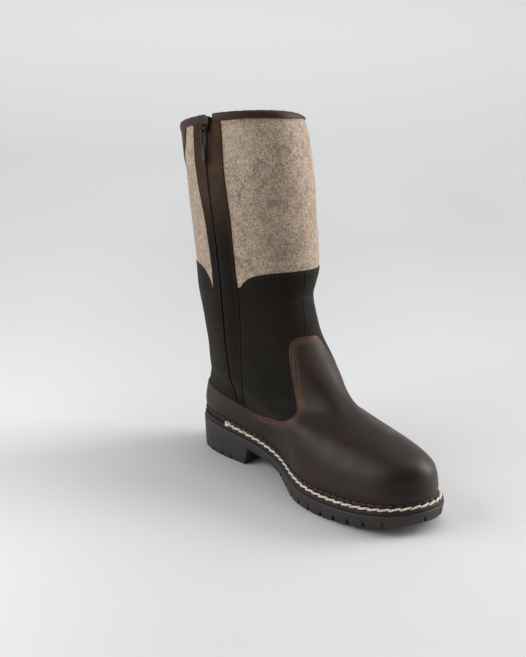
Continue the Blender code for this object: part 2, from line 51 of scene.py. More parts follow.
# ---------------------------------------------------------------- sizes shared with the part's source
SOLE_LENGTH = 300.0
GAP = 0.3
WELT_THICK, WELT_INSET = 3.2, 0.8
RUBBER_THICK, TREAD_TAPER = 9.0, 1.0
HEEL_BREAST, BREAST_HOLLOW = 86.0, 6.0
TREAD_START = 141.0
LUG_DEPTH = 4.5
GROOVE_OUT, GROOVE_IN, GROOVE_KNOT = 2.4, 2.0, 5.0
LUGS_PER_SIDE = 10
WALL = 3.0
INSOLE_THICK = 6.0
ZIP_FOOT = 0.10
SLIDER_LONG, SLIDER_WIDE, SLIDER_THICK, SLIDER_AT = 15.0, 8.0, 3.2, 0.978
BRIDGE_RADIUS, BRIDGE_WIRE = 2.7, 0.9
LOOP_LONG, LOOP_WIDE, LOOP_WIRE = 16.0, 6.0, 0.8
TAB_LONG, TAB_WIDE, TAB_THICK, TAB_HOLE = 17.0, 4.0, 1.4, 0.9

OUTLINE = np.array([    # share of the length, lateral and medial half width
    (0.00, 0.0, 0.0), (0.03, 27.0, 26.5), (0.08, 36.5, 34.5), (0.15, 40.3, 37.2), (0.25, 42.0, 34.6),
    (0.35, 44.0, 31.4), (0.42, 47.8, 32.0), (0.50, 55.0, 37.2), (0.58, 60.0, 46.2), (0.65, 61.0, 50.8),
    (0.72, 58.8, 51.2), (0.80, 52.9, 48.4), (0.88, 44.4, 43.4), (0.95, 31.6, 32.6), (0.98, 21.0, 22.2),
    (1.00, 0.0, 0.0),
])
BALL_LATERAL, BALL_MEDIAL = 61.0, 51.2
WELT_CURVE = np.array([
    (0.0, 35.0), (40.0, 33.0), (80.0, 29.5), (120.0, 24.5), (160.0, 19.5),
    (190.0, 17.3), (220.0, 16.8), (250.0, 18.2), (280.0, 21.5), (300.0, 24.5),
])
TREAD_CURVE = np.array([
    (141.0, 7.0), (160.0, 2.6), (182.0, 0.0), (215.0, 0.0), (240.0, 1.4), (270.0, 5.2), (300.0, 11.5),
])
SECTION_COLUMNS = ("back_x", "back_z", "front_x", "front_z", "front_y", "lateral", "medial",
                   "widest", "point", "last", "tilt")
SECTIONS = np.array([
    (4.0, 35.2, 290.0, 23.1, 0.0, 50.5, 42.5, 0.62, 0.00, 1.00, 0.00),
    (0.5, 42.0, 294.0, 29.0, 0.0, 52.0, 45.0, 0.62, 0.00, 1.00, 0.00),
    (-1.5, 52.0, 294.5, 40.0, 0.0, 52.5, 45.5, 0.60, 0.10, 0.85, 0.00),
    (-2.0, 61.0, 291.5, 53.0, -0.5, 51.0, 45.0, 0.56, 0.30, 0.62, 0.00),
    (-2.0, 69.0, 281.5, 61.5, -1.0, 44.0, 44.0, 0.52, 0.60, 0.40, 0.00),
    (-1.5, 77.0, 253.0, 68.5, -1.5, 37.5, 43.0, 0.48, 1.20, 0.22, 0.00),
    (-1.0, 86.0, 208.5, 78.5, -2.0, 37.5, 42.5, 0.45, 1.60, 0.10, 0.00),
    (-1.0, 96.0, 186.5, 91.5, -2.5, 39.0, 42.5, 0.45, 0.70, 0.04, 0.00),
    (-1.0, 108.0, 170.5, 106.0, -2.5, 41.5, 43.5, 0.46, 0.20, 0.00, 0.00),
    (-1.5, 122.0, 150.5, 126.0, -2.0, 41.0, 45.0, 0.47, 0.30, 0.00, 0.00),
    (-4.0, 142.0, 136.0, 147.0, -1.0, 41.5, 47.5, 0.48, 0.30, 0.00, 0.02),
    (-6.5, 157.0, 129.0, 165.0, -1.0, 43.5, 49.0, 0.48, 0.20, 0.00, 0.04),
    (-8.5, 172.0, 131.0, 183.0, 0.0, 47.0, 50.5, 0.49, 0.10, 0.00, 0.05),
    (-12.5, 205.0, 128.0, 220.0, 0.0, 49.5, 53.0, 0.50, 0.05, 0.00, 0.08),
    (-19.0, 245.0, 120.0, 264.0, 0.0, 52.5, 54.0, 0.50, 0.00, 0.00, 0.10),
    (-28.0, 298.0, 104.0, 327.0, 0.0, 53.5, 53.5, 0.50, 0.00, 0.00, 0.13),
])
BOTTOM_CURVE_ENDS = 0.42
ZIP_LINE = np.array([   # height share, distance from the heel's back
    (0.00, 74.0), (0.10, 74.0), (0.21, 73.8), (0.33, 73.5), (0.43, 73.2), (0.55, 72.0), (0.66, 69.6),
    (0.73, 66.0), (0.81, 60.6), (0.87, 58.0), (0.93, 57.2), (1.00, 57.2),
])

# ---------------------------------------------------------------- layout of the upper's panels
# front edge of the zip's front facing: height share, distance from the heel's back
FACING_FRONT = np.array([
    (0.00, 86.0), (0.10, 88.0), (0.23, 93.0), (0.34, 95.2), (0.43, 94.2), (0.52, 91.4), (0.55, 90.4),
    (0.61, 89.4), (0.665, 87.8), (0.71, 86.2), (0.76, 83.2), (0.81, 79.9), (0.87, 76.1), (0.95, 72.0), (1.00, 68.6),
])
BACK_FACING = np.array([        # width of the facing behind the zip: height share, millimetres
    (0.00, 12.5), (0.62, 12.5), (0.71, 13.2), (0.78, 15.0), (0.83, 17.2), (0.88, 19.3), (0.96, 21.2), (1.00, 21.8),
])
FACING_GAP = 1.2                # half of the slit that shows between the facings
# edge of the vamp and its rand on the inner side: turn in half turns, height share
VAMP_EDGE = np.array([
    (0.000, 0.094), (0.200, 0.092), (0.356, 0.089), (0.389, 0.088), (0.428, 0.094), (0.489, 0.119), (0.525, 0.133),
    (0.567, 0.151), (0.594, 0.167), (0.625, 0.187), (0.656, 0.211), (0.681, 0.236), (0.714, 0.271), (0.744, 0.303),
    (0.778, 0.344), (0.792, 0.363), (0.811, 0.387), (0.831, 0.404), (0.864, 0.419), (0.908, 0.426), (1.000, 0.427),
])
VAMP_EDGE_OUT = np.array([      # outer side, half turns from the back
    (0.000, 0.094), (0.200, 0.092), (0.356, 0.089), (0.400, 0.092), (0.460, 0.108), (0.520, 0.130), (0.580, 0.150), (0.620, 0.165),
    (0.660, 0.180), (0.700, 0.198), (0.745, 0.226), (0.782, 0.256), (0.812, 0.287), (0.833, 0.315), (0.853, 0.343), (0.876, 0.372),
    (0.897, 0.395), (0.920, 0.413), (0.950, 0.424), (1.000, 0.427),
])
# half width of the leather at the back of the shaft: height share, half turns from the back
BACK_STRAP = np.array([
    (0.00, 0.10), (0.10, 0.10), (0.35, 0.095), (0.60, 0.10), (0.75, 0.13), (0.83, 0.19), (0.905, 0.29), (0.92, 0.335),
    (0.95, 0.378), (0.975, 0.403), (1.00, 0.42),
])
# outer faces of the layers, from the part's own face
FELT_AT, QUARTER_AT, FACING_AT, STRAP_AT, VAMP_AT = -1.0, -0.2, 0.3, 0.1, 0.9
LINING_AT = -3.0
BINDING_DEPTH = 5.8


# ---------------------------------------------------------------- curves and the upper's face
def spline(knots, values, x):
    """Natural cubic spline through the rows of a table."""
    knots, values, x = (np.asarray(a, float) for a in (knots, values, x))
    n, step = len(knots), np.diff(knots)
    system, right = np.eye(n), np.zeros((n,) + values.shape[1:])
    for i in range(1, n - 1):
        system[i, i - 1:i + 2] = step[i - 1], 2 * (step[i - 1] + step[i]), step[i]
        right[i] = 6 * ((values[i + 1] - values[i]) / step[i] - (values[i] - values[i - 1]) / step[i - 1])
    bend = np.linalg.solve(system, right)
    i = np.clip(np.searchsorted(knots, x) - 1, 0, n - 2)
    wide = (Ellipsis,) + (None,) * (values.ndim - 1)
    before, after, h = (knots[i + 1] - x)[wide], (x - knots[i])[wide], step[i][wide]
    return ((bend[i] * before ** 3 + bend[i + 1] * after ** 3) / (6 * h)
            + (values[i] / h - bend[i] * h / 6) * before
            + (values[i + 1] / h - bend[i + 1] * h / 6) * after)


def smooth(table, x):
    """Curve through a two-column table, flat at rows where the slope turns."""
    knots, values = table[:, 0], table[:, 1]
    step = np.diff(knots)
    rise = np.diff(values) / step
    slope = np.zeros(len(knots))
    slope[0], slope[-1] = rise[0], rise[-1]
    for i in range(1, len(knots) - 1):
        if rise[i - 1] * rise[i] > 0:
            a, b = 2 * step[i] + step[i - 1], step[i] + 2 * step[i - 1]
            slope[i] = (a + b) / (a / rise[i - 1] + b / rise[i])
    x = np.clip(np.asarray(x, float), knots[0], knots[-1])
    i = np.clip(np.searchsorted(knots, x, side="right") - 1, 0, len(knots) - 2)
    t, h = (x - knots[i]) / step[i], step[i]
    return (values[i] * (1 + 2 * t) * (1 - t) ** 2 + slope[i] * h * t * (1 - t) ** 2
            + values[i + 1] * t * t * (3 - 2 * t) + slope[i + 1] * h * t * t * (t - 1))


def half_widths(share):
    turn = np.arccos(np.clip(1 - 2 * np.asarray(share, float), -1, 1))
    return spline(np.arccos(1 - 2 * OUTLINE[:, 0]), OUTLINE[:, 1:], turn)


def welt_top(x):
    return spline(WELT_CURVE[:, 0], WELT_CURVE[:, 1], np.clip(x, 0, SOLE_LENGTH))


def rubber_top(x):
    return welt_top(x) - WELT_THICK - GAP


def tread(x):
    return smooth(TREAD_CURVE, x)


middles = (SECTIONS[:, 0:2] + SECTIONS[:, 2:4]) / 2
HEIGHTS = np.r_[0, np.cumsum(np.linalg.norm(np.diff(middles, axis=0), axis=1))]
HEIGHTS /= HEIGHTS[-1]


def section(height):
    row = spline(HEIGHTS, SECTIONS, height)
    return {name: row[..., k] for k, name in enumerate(SECTION_COLUMNS)}


def upper_face(turn, height):
    """Outer face of the part's upper. turn: 0 at the back, pi at the front by the inner side, 2 pi at the back again."""
    turn, height = np.broadcast_arrays(np.asarray(turn, float), np.asarray(height, float))
    turn = np.mod(turn, 2 * PI)
    c = section(height)
    outside = turn > PI
    share = (1 - np.cos(turn)) / 2
    reach = np.where(outside, c["lateral"], c["medial"])
    ahead = share >= c["widest"]
    off = np.where(ahead, (share - c["widest"]) / (1 - c["widest"]), (c["widest"] - share) / c["widest"])
    oval = reach * np.sqrt(np.clip(1 - off ** 2, 0, 1) / (1 + np.where(ahead, c["point"], 0) * off ** 2))
    sides = half_widths(share)
    foot = np.where(outside, sides[..., 0] * c["lateral"] / BALL_LATERAL, sides[..., 1] * c["medial"] / BALL_MEDIAL)
    width = c["last"] * foot + (1 - c["last"]) * oval
    x = c["back_x"] + (c["front_x"] - c["back_x"]) * share
    y = c["front_y"] * share + np.where(outside, width, -width)
    chord = welt_top(c["back_x"]) + (welt_top(c["front_x"]) - welt_top(c["back_x"])) * share
    follow = np.clip(1 - height / BOTTOM_CURVE_ENDS, 0, 1)
    z = c["back_z"] + (c["front_z"] - c["back_z"]) * share + (welt_top(x) - chord) * follow - c["tilt"] * y
    return np.stack([x, y, z], -1)


def slopes(turn, height, e=2e-3):
    """Change of the face by turn and by height."""
    top, low = np.minimum(np.asarray(height) + e, 1), np.maximum(np.asarray(height) - e, 0)
    along = (upper_face(turn + e, height) - upper_face(turn - e, height)) / (2 * e)
    up = (upper_face(turn, top) - upper_face(turn, low)) / (top - low)[..., None]
    return along, up


def unit(v):
    return v / np.maximum(np.linalg.norm(v, axis=-1, keepdims=True), 1e-12)


def upper_normal(turn, height):
    along, up = slopes(np.asarray(turn, float), np.asarray(height, float))
    return unit(np.cross(along, up))


def turn_at(x, height):
    """Turn on the inner side at a distance from the heel's back."""
    c = section(height)
    return np.arccos(np.clip(1 - 2 * (x - c["back_x"]) / (c["front_x"] - c["back_x"]), -1, 1))


def zip_turn(height):
    return turn_at(spline(ZIP_LINE[:, 0], ZIP_LINE[:, 1], height), height)


def beside(turn, height, width):
    """Turn that lies a width in millimetres further round."""
    per = np.linalg.norm(slopes(turn, height)[0], axis=-1)
    return turn + width / per


def inset(turn, height, way, width):
    """Line on the face at a width beside another; way +1 is to the left of its run, seen from outside."""
    turn, height = np.array(turn, float), np.array(height, float)
    run = unit(np.gradient(upper_face(turn, height), axis=0))
    along, up = slopes(turn, height)
    side = np.cross(unit(np.cross(along, up)), run) * way * width
    a, b, c = (along * along).sum(-1), (along * up).sum(-1), (up * up).sum(-1)
    p, q = (side * along).sum(-1), (side * up).sum(-1)
    det = a * c - b * b
    return turn + (p * c - q * b) / det, np.clip(height + (q * a - p * b) / det, 0, 1)


def even(turn, height, pitch):
    """The same line with points at an even distance."""
    run = np.r_[0, np.cumsum(np.linalg.norm(np.diff(upper_face(turn, height), axis=0), axis=1))]
    at = np.linspace(0, run[-1], max(2, int(round(run[-1] / pitch)) + 1))
    return np.interp(at, run, turn), np.interp(at, run, height)


# ---------------------------------------------------------------- creases and dents
# line as (half turns, height share) points; depth and width in millimetres; ridge: swelling beside it, as a share of the depth
CREASES = (
    # ankle fold below the felt, round the front
    dict(line=((0.80, 0.515), (0.90, 0.527), (1.0, 0.532), (1.12, 0.527), (1.24, 0.512)), depth=1.1, width=5.5, ridge=0.5),
    dict(line=((0.86, 0.478), (0.95, 0.487), (1.05, 0.487), (1.16, 0.474)), depth=0.55, width=4.5, ridge=0.4),
    dict(line=((1.22, 0.55), (1.33, 0.515), (1.45, 0.50)), depth=0.9, width=6.0, ridge=0.4),
    dict(line=((1.25, 0.47), (1.36, 0.45), (1.48, 0.455)), depth=0.6, width=6.0, ridge=0.3),
    # soft drop beside the zip at the ankle
    dict(line=((0.68, 0.53), (0.72, 0.47), (0.70, 0.40)), depth=0.7, width=9.0, ridge=0.2),
    # bend over the instep, where the tongue meets the foot
    dict(line=((0.80, 0.30), (0.90, 0.285), (1.0, 0.28), (1.10, 0.285), (1.2, 0.30)), depth=0.3, width=13.0, ridge=0.0),
    # walking breaks over the ball
    dict(line=((0.72, 0.135), (0.80, 0.165), (0.90, 0.182), (1.0, 0.186)), depth=0.45, width=5.0, ridge=0.5),
    dict(line=((1.30, 0.13), (1.20, 0.165), (1.10, 0.182), (1.0, 0.186)), depth=0.45, width=5.0, ridge=0.5),
    # heel
    dict(line=((-0.16, 0.40), (0.0, 0.385), (0.16, 0.40)), depth=0.8, width=7.0, ridge=0.3),
    dict(line=((-0.2, 0.52), (0.0, 0.50), (0.2, 0.515)), depth=0.7, width=8.0, ridge=0.3),
)

COLLAR_ROLL = 0.945, 2.6, 1.27, 0.24      # height where it begins, millimetres, middle and reach in half turns


def crease_lines():
    found = []
    for c in CREASES:
        p = np.array(c["line"])
        t = np.linspace(0, 1, len(p))
        s = np.linspace(0, 1, 160)
        turn, height = spline(t, p[:, 0] * PI, s), spline(t, p[:, 1], s)
        tree = KDTree(len(s))
        for i, q in enumerate(upper_face(turn, height)):
            tree.insert(q, i)
        tree.balance()
        found.append((tree, s, c["depth"], c["width"], c["ridge"]))
    return found


crease_trees = crease_lines()


def relief(points, turn, height):
    """Height of the creases at points of the face."""
    flat = points.reshape(-1, 3)
    total = np.zeros(len(flat))
    for tree, s, depth, width, ridge in crease_trees:
        near = [tree.find(p) for p in flat]
        d = np.array([n[2] for n in near]) / width
        along = s[np.array([n[1] for n in near])]
        fade = np.sin(PI * np.clip(along, 0.02, 0.98)) ** 0.6
        total += fade * depth * (-np.exp(-d ** 2) + ridge * np.exp(-((d - 1.9) / 0.9) ** 2))
    # slow unevenness of a worked last
    x, y, z = flat.T
    total += 0.22 * np.sin(x / 21.0 + 0.6 * np.sin(z / 17.0)) * np.sin(z / 26.0 + y / 31.0)
    total += 0.12 * np.sin(x / 9.5 + z / 14.0 + 1.7) * np.sin(y / 11.0 - z / 12.0)
    total = total.reshape(points.shape[:-1])
    turn, height = np.broadcast_arrays(turn, height)
    # the collar rolls inwards at the outer front
    rim = np.clip((height - COLLAR_ROLL[0]) / (1 - COLLAR_ROLL[0]), 0, 1) ** 2
    total -= COLLAR_ROLL[1] * rim * np.exp(-((np.mod(turn, 2 * PI) / PI - COLLAR_ROLL[2]) / COLLAR_ROLL[3]) ** 2)
    return total


# ---------------------------------------------------------------- mesh helpers
def mesh_object(name, points, faces, materials, values=None, face_material=None):
    """Object from points in millimetres and faces of one size as a whole array; values are named numbers at the points."""
    points, faces = np.asarray(points, float).reshape(-1, 3), np.asarray(faces, int)
    mesh = bpy.data.meshes.new(name)
    count, size = faces.shape
    mesh.vertices.add(len(points))
    mesh.vertices.foreach_set("co", ((points + SHIFT) * MM).astype(np.float32).ravel())
    mesh.loops.add(count * size)
    mesh.loops.foreach_set("vertex_index", faces.astype(np.int32).ravel())
    mesh.polygons.add(count)
    mesh.polygons.foreach_set("loop_start", np.arange(0, count * size, size, dtype=np.int32))
    mesh.update(calc_edges=True)
    mesh.validate()
    for material in materials if isinstance(materials, (list, tuple)) else [materials]:
        mesh.materials.append(material)
    if face_material is not None:
        mesh.polygons.foreach_set("material_index", np.asarray(face_material, np.int32))
    for key, value in (values or {}).items():
        mesh.attributes.new(key, "FLOAT", "POINT").data.foreach_set("value", np.asarray(value, np.float32).ravel())
    mesh.shade_smooth()
    obj = bpy.data.objects.new(name, mesh)
    bpy.context.scene.collection.objects.link(obj)
    return obj


def grid_faces(n, m, wrap_n=False, wrap_m=False):
    i, j = np.meshgrid(np.arange(n if wrap_n else n - 1), np.arange(m if wrap_m else m - 1), indexing="ij")
    a, b = i.ravel(), j.ravel()
    c, d = (a + 1) % n, (b + 1) % m
    return np.c_[a * m + b, c * m + b, c * m + d, a * m + d]


def shell(name, front, back, materials, wrap=False, values=None):
    """Closed piece between two grids of the same size; the first index runs round, the second up."""
    n, m = front.shape[:2]
    size = n * m
    faces = [grid_faces(n, m, wrap), grid_faces(n, m, wrap)[:, ::-1] + size]
    a = np.arange(n if wrap else n - 1)
    b = (a + 1) % n
    faces.append(np.c_[b * m, a * m, a * m + size, b * m + size])
    faces.append(np.c_[a * m + m - 1, b * m + m - 1, b * m + m - 1 + size, a * m + m - 1 + size])
    if not wrap:
        j = np.arange(m - 1)
        faces.append(np.c_[j, j + 1, j + 1 + size, j + size])
        k = (n - 1) * m + j
        faces.append(np.c_[k + 1, k, k + size, k + 1 + size])
    values = {key: np.concatenate([np.ravel(v), np.ravel(v)]) for key, v in (values or {}).items()}
    return mesh_object(name, np.concatenate([front.reshape(-1, 3), back.reshape(-1, 3)]), np.concatenate(faces), materials, values)


def tube(path, sides_at, closed=False):
    """Points and faces of a swept ring; sides_at is the ring's points at each station, closed round; ends capped with fans."""
    n, m = sides_at.shape[:2]
    faces = grid_faces(n, m, closed, True)
    points = sides_at.reshape(-1, 3)
    if closed:
        return points, faces
    points = np.concatenate([points, path[:1], path[-1:]])
    j = np.arange(m)
    first, last = n * m, n * m + 1
    caps = [np.c_[np.full(m, first), (j + 1) % m, j, j], np.c_[np.full(m, last), (n - 1) * m + j, (n - 1) * m + (j + 1) % m, (n - 1) * m + (j + 1) % m]]
    return points, np.concatenate([faces] + caps)


def quads_and_caps(name, points, faces, materials, values=None, face_material=None):
    """Object whose faces may hold a doubled corner, which stands for a triangle."""
    faces = np.asarray(faces)
    mesh = bpy.data.meshes.new(name)
    mesh.from_pydata(((np.asarray(points, float) + SHIFT) * MM).tolist(), [],
                     [tuple(f[:3]) if f[2] == f[3] else tuple(f) for f in faces.tolist()])
    for material in materials if isinstance(materials, (list, tuple)) else [materials]:
        mesh.materials.append(material)
    if face_material is not None:
        mesh.polygons.foreach_set("material_index", np.asarray(face_material, np.int32))
    for key, value in (values or {}).items():
        mesh.attributes.new(key, "FLOAT", "POINT").data.foreach_set("value", np.asarray(value, np.float32).ravel())
    mesh.shade_smooth()
    obj = bpy.data.objects.new(name, mesh)
    bpy.context.scene.collection.objects.link(obj)
    return obj


def frames_along(path, up):
    """Side and up directions for a sweep along a path, up kept as near as possible to given directions."""
    run = unit(np.gradient(path, axis=0))
    side = unit(np.cross(run, up))
    return run, side, np.cross(side, run)


def round_wire(path, up, radius, sides=8, closed=False):
    run, side, over = frames_along(path, up)
    if closed:
        run = unit(np.roll(path, -1, axis=0) - np.roll(path, 1, axis=0))
        side = unit(np.cross(run, up))
        over = np.cross(side, run)
    a = np.linspace(0, 2 * PI, sides, endpoint=False)
    radius = np.broadcast_to(radius, len(path))
    ring = path[:, None] + radius[:, None, None] * (side[:, None] * np.cos(a)[None, :, None] + over[:, None] * np.sin(a)[None, :, None])
    return tube(path, ring, closed)


def join(parts):
    """Points and faces of several pieces as one, with the number of the piece at each point and face."""
    points, faces, at_point, at_face, base = [], [], [], [], 0
    for k, (p, f) in enumerate(parts):
        points.append(p)
        faces.append(np.asarray(f) + base)
        at_point.append(np.full(len(p), k))
        at_face.append(np.full(len(f), k))
        base += len(p)
    return np.concatenate(points), np.concatenate(faces), np.concatenate(at_point), np.concatenate(at_face)


def seed(length):
    """Capsule along X with its middle at the origin, unit radius."""
    stations = np.array([-1.0, -0.93, -0.72, -0.4, 0.4, 0.72, 0.93, 1.0])
    wide = np.array([0.25, 0.62, 0.9, 1.0, 1.0, 0.9, 0.62, 0.25])
    a = np.linspace(0, 2 * PI, 6, endpoint=False)
    ring = np.stack([np.repeat(stations[:, None] * length / 2, 6, 1), wide[:, None] * np.cos(a), wide[:, None] * np.sin(a)], -1)
    path = np.c_[stations * length / 2, np.zeros((8, 2))]
    return tube(path, ring)


def stitches(name, lines, material, pitch=3.2, long=2.6, radius=0.34, sink=0.08, at=0.0):
    """Row of thread stitches on lines of (turn, height); at: offset of the face they lie on."""
    parts = []
    for turn, height in lines:
        turn, height = even(turn, height, pitch)
        face = upper_face(turn, height)
        out = upper_normal(turn, height)
        place = face + out * (at + relief(face, turn, height) - sink)[:, None]
        run, side, over = frames_along(place, out)
        body, faces = seed(long)
        for k in range(len(place)):
            tip = body[:, :1] * run[k] + (body[:, 1:2] * side[k] + body[:, 2:] * over[k]) * radius
            parts.append((place[k] + tip, faces))
    points, faces, at_point, at_face = join(parts)
    return quads_and_caps(name, points, faces, material, {"piece": at_point % 17})


# ---------------------------------------------------------------- materials
class Finish:
    """A Principled material with procedural inputs in the piece's own coordinates."""

    def __init__(self, name):
        self.material = bpy.data.materials.new(name)
        self.material.use_nodes = True
        self.tree = self.material.node_tree
        self.shader = self.tree.nodes["Principled BSDF"]
        self.where = self.tree.nodes.new("ShaderNodeTexCoord").outputs["Object"]
        self.bumps = None

    def set(self, **values):
        for key, value in values.items():
            self.shader.inputs[key.replace("_", " ")].default_value = value
        return self

    def link(self, output, socket):
        self.tree.links.new(output, self.shader.inputs[socket] if isinstance(socket, str) else socket)

    def node(self, kind, settings=None, **inputs):
        n = self.tree.nodes.new(kind)
        for key, value in (settings or {}).items():
            setattr(n, key, value)
        for key, value in inputs.items():
            socket = n.inputs[key.replace("_", " ")]
            if isinstance(value, bpy.types.NodeSocket):
                self.tree.links.new(value, socket)
            else:
                socket.default_value = value
        return n

    def stretched(self, scale):
        return self.node("ShaderNodeMapping", Vector=self.where, Scale=scale).outputs["Vector"]

    def noise(self, scale, detail=4.0, rough=0.55, distortion=0.0, where=None, kind="FBM"):
        n = self.node("ShaderNodeTexNoise", {"noise_type": kind, "normalize": True} if kind == "FBM" else {"noise_type": kind},
                      Vector=where or self.where, Scale=scale, Detail=detail, Roughness=rough, Distortion=distortion)
        return n.outputs[0]

    def cells(self, scale, feature="F1", smoothness=0.3, where=None):
        n = self.node("ShaderNodeTexVoronoi", {"feature": feature}, Vector=where or self.where, Scale=scale)
        return n.outputs["Distance"]

    def ramp(self, source, stops, interpolation="LINEAR"):
        """Colours or greys along a number; stops are (place, colour or grey)."""
        n = self.node("ShaderNodeValToRGB", Fac=source)
        n.color_ramp.interpolation = interpolation
        while len(n.color_ramp.elements) < len(stops):
            n.color_ramp.elements.new(0.5)
        for element, (place, colour) in zip(n.color_ramp.elements, stops):
            element.position = place
            element.color = (*colour, 1) if isinstance(colour, (tuple, list)) else (colour, colour, colour, 1)
        return n.outputs["Color"]

    def value(self, name):
        return self.node("ShaderNodeAttribute", {"attribute_name": name, "attribute_type": "GEOMETRY"}).outputs["Fac"]

    def span(self, source, low, high, to_low=0.0, to_high=1.0, smooth_step=True):
        return self.node("ShaderNodeMapRange", {"interpolation_type": "SMOOTHSTEP" if smooth_step else "LINEAR", "clamp": True},
                         **{"Value": source, "From_Min": low, "From_Max": high, "To_Min": to_low, "To_Max": to_high}).outputs["Result"]

    def math(self, how, a, b):
        n = self.tree.nodes.new("ShaderNodeMath")
        n.operation = how
        for socket, v in zip(n.inputs, (a, b)):
            if isinstance(v, bpy.types.NodeSocket):
                self.tree.links.new(v, socket)
            else:
                socket.default_value = v
        return n.outputs[0]

    def mix(self, factor, a, b, blend="MIX"):
        n = self.tree.nodes.new("ShaderNodeMix")
        n.data_type = "RGBA"
        n.blend_type = blend
        n.clamp_factor = True
        for socket, v in ((n.inputs[0], factor), (n.inputs[6], a), (n.inputs[7], b)):
            if isinstance(v, bpy.types.NodeSocket):
                self.tree.links.new(v, socket)
            else:
                socket.default_value = (*v, 1) if isinstance(v, (tuple, list)) else v
        return n.outputs[2]

    def bump(self, height, distance, strength=1.0):
        n = self.node("ShaderNodeBump", Height=height, Distance=distance * MM, Strength=strength)
        if self.bumps:
            self.tree.links.new(self.bumps, n.inputs["Normal"])
        self.bumps = n.outputs["Normal"]
        self.link(self.bumps, "Normal")


def srgb(r, g, b):
    """Linear colour of an 8-bit screen colour."""
    return tuple((c / 255 / 12.92) if c <= 10 else ((c / 255 + 0.055) / 1.055) ** 2.4 for c in (r, g, b))


def felt_finish(name, dark, mean, light):
    """Milled wool in mixed natural shades: fine flecks, short wisps and slow changes of tone."""
    f = Finish(name)
    fibre = f.noise(760.0, 4.0, 0.6, 0.6)
    wisps = f.noise(420.0, 4.0, 0.62, 1.4, where=f.stretched((1.0, 1.0, 1.3)))
    tufts = f.noise(110.0, 4.0, 0.6, 0.8)
    slow = f.noise(20.0, 2.0, 0.5)
    colour = f.ramp(fibre, ((0.34, dark), (0.47, mean), (0.54, mean), (0.68, light)))
    colour = f.mix(f.ramp(wisps, ((0.34, 0.75), (0.45, 0.0))), colour, dark)
    colour = f.mix(f.ramp(wisps, ((0.56, 0.0), (0.68, 0.7))), colour, light)
    colour = f.mix(f.ramp(tufts, ((0.34, 0.5), (0.52, 0.0))), colour, dark)
    colour = f.mix(f.ramp(slow, ((0.35, 0.12), (0.6, 0.0))), colour, dark)
    # painted shade and painted light from the felt's "shade" values
    colour = f.mix(f.span(f.value("shade"), 0.0, 1.0, 0.0, 1.0, False), colour, dark)
    colour = f.mix(f.span(f.value("shade"), -1.0, 0.0, 1.0, 0.0, False), colour, light)
    f.link(colour, "Base Color")
    f.link(f.ramp(fibre, ((0.3, 0.86), (0.7, 0.98))), "Roughness")
    f.set(Sheen_Weight=0.5, Sheen_Roughness=0.5, Sheen_Tint=(*light, 1), Specular_IOR_Level=0.15)
    f.bump(tufts, 0.5, 0.7)
    f.bump(wisps, 0.5, 0.9)
    f.bump(fibre, 0.35, 0.9)
    return f.material


def leather_finish(name, deep, mean, worn, gloss, edge_colour=None, edge_width=6.0, grain=1.0, painted_foot_shadow=None,
                   specular=0.4):
    """Oiled leather: slow tone changes, fine grain and pores. edge_colour: burnish along the edge where "burnish" says;
    painted_foot_shadow: painted shadow, the share of the colour that is left at the foot of a tall piece."""
    f = Finish(name)
    slow = f.noise(22.0, 3.0, 0.55)
    mid = f.noise(90.0, 4.0, 0.6)
    fine = f.noise(900.0, 3.0, 0.6)
    pores = f.cells(1250.0)
    colour = f.ramp(slow, ((0.32, deep), (0.52, mean), (0.72, worn)))
    colour = f.mix(f.ramp(mid, ((0.42, 0.0), (0.62, 0.35))), colour, deep)
    colour = f.mix(f.ramp(fine, ((0.55, 0.0), (0.75, 0.3))), colour, worn)
    if painted_foot_shadow:
        # painted shadow: the colour darkens towards the foot of the piece
        colour = f.mix(f.span(f.value("tall"), 0.62, 0.88, 1.0, 0.0), colour, (painted_foot_shadow, painted_foot_shadow, painted_foot_shadow), "MULTIPLY")
    if edge_colour:
        near = f.span(f.value("edge"), 0.3 * edge_width, edge_width, 1.0, 0.0)
        near = f.math("MULTIPLY", near, f.value("burnish"))
        near = f.math("MULTIPLY", near, f.ramp(mid, ((0.34, 0.3), (0.64, 0.95))))
        colour = f.mix(near, colour, edge_colour)
    f.link(colour, "Base Color")
    low, high = gloss
    f.link(f.ramp(f.noise(55.0, 5.0, 0.65), ((0.3, low), (0.7, high))), "Roughness")
    f.set(Specular_IOR_Level=specular, Specular_Tint=(1.0, 0.91, 0.84, 1))
    f.bump(mid, 0.10, 0.5 * grain)
    f.bump(f.noise(330.0, 4.0, 0.6), 0.09, 0.6 * grain)
    f.bump(pores, 0.05, 0.5 * grain)
    return f


def nubuck_finish(name, deep, mean, worn):
    f = Finish(name)
    slow = f.noise(14.0, 3.0, 0.5)
    nap = f.noise(620.0, 5.0, 0.7)
    brush = f.noise(60.0, 4.0, 0.6, 0.5)
    colour = f.ramp(slow, ((0.3, deep), (0.5, mean), (0.75, worn)))
    colour = f.mix(f.ramp(nap, ((0.42, 0.5), (0.56, 0.0))), colour, deep)
    colour = f.mix(f.ramp(brush, ((0.5, 0.0), (0.7, 0.4))), colour, worn)
    edge = f.value("edge")
    colour = f.mix(f.span(edge, 0.0, 1.1, 0.6, 0.0), colour, srgb(66, 46, 31))
    f.link(colour, "Base Color")
    f.link(f.ramp(brush, ((0.3, 0.68), (0.7, 0.84))), "Roughness")
    f.set(Specular_IOR_Level=0.14, Sheen_Weight=0.06, Sheen_Roughness=0.5, Sheen_Tint=(0.6, 0.5, 0.4, 1))
    f.bump(brush, 0.10, 0.4)
    f.bump(nap, 0.06, 0.6)
    return f.material


def thread_finish(name, dark, mean, light):
    f = Finish(name)
    twist = f.noise(700.0, 3.0, 0.6)
    colour = f.ramp(twist, ((0.32, dark), (0.5, mean), (0.66, light)))
    f.link(colour, "Base Color")
    f.link(f.ramp(twist, ((0.3, 0.62), (0.7, 0.85))), "Roughness")
    f.bump(twist, 0.12, 0.8)
    return f.material


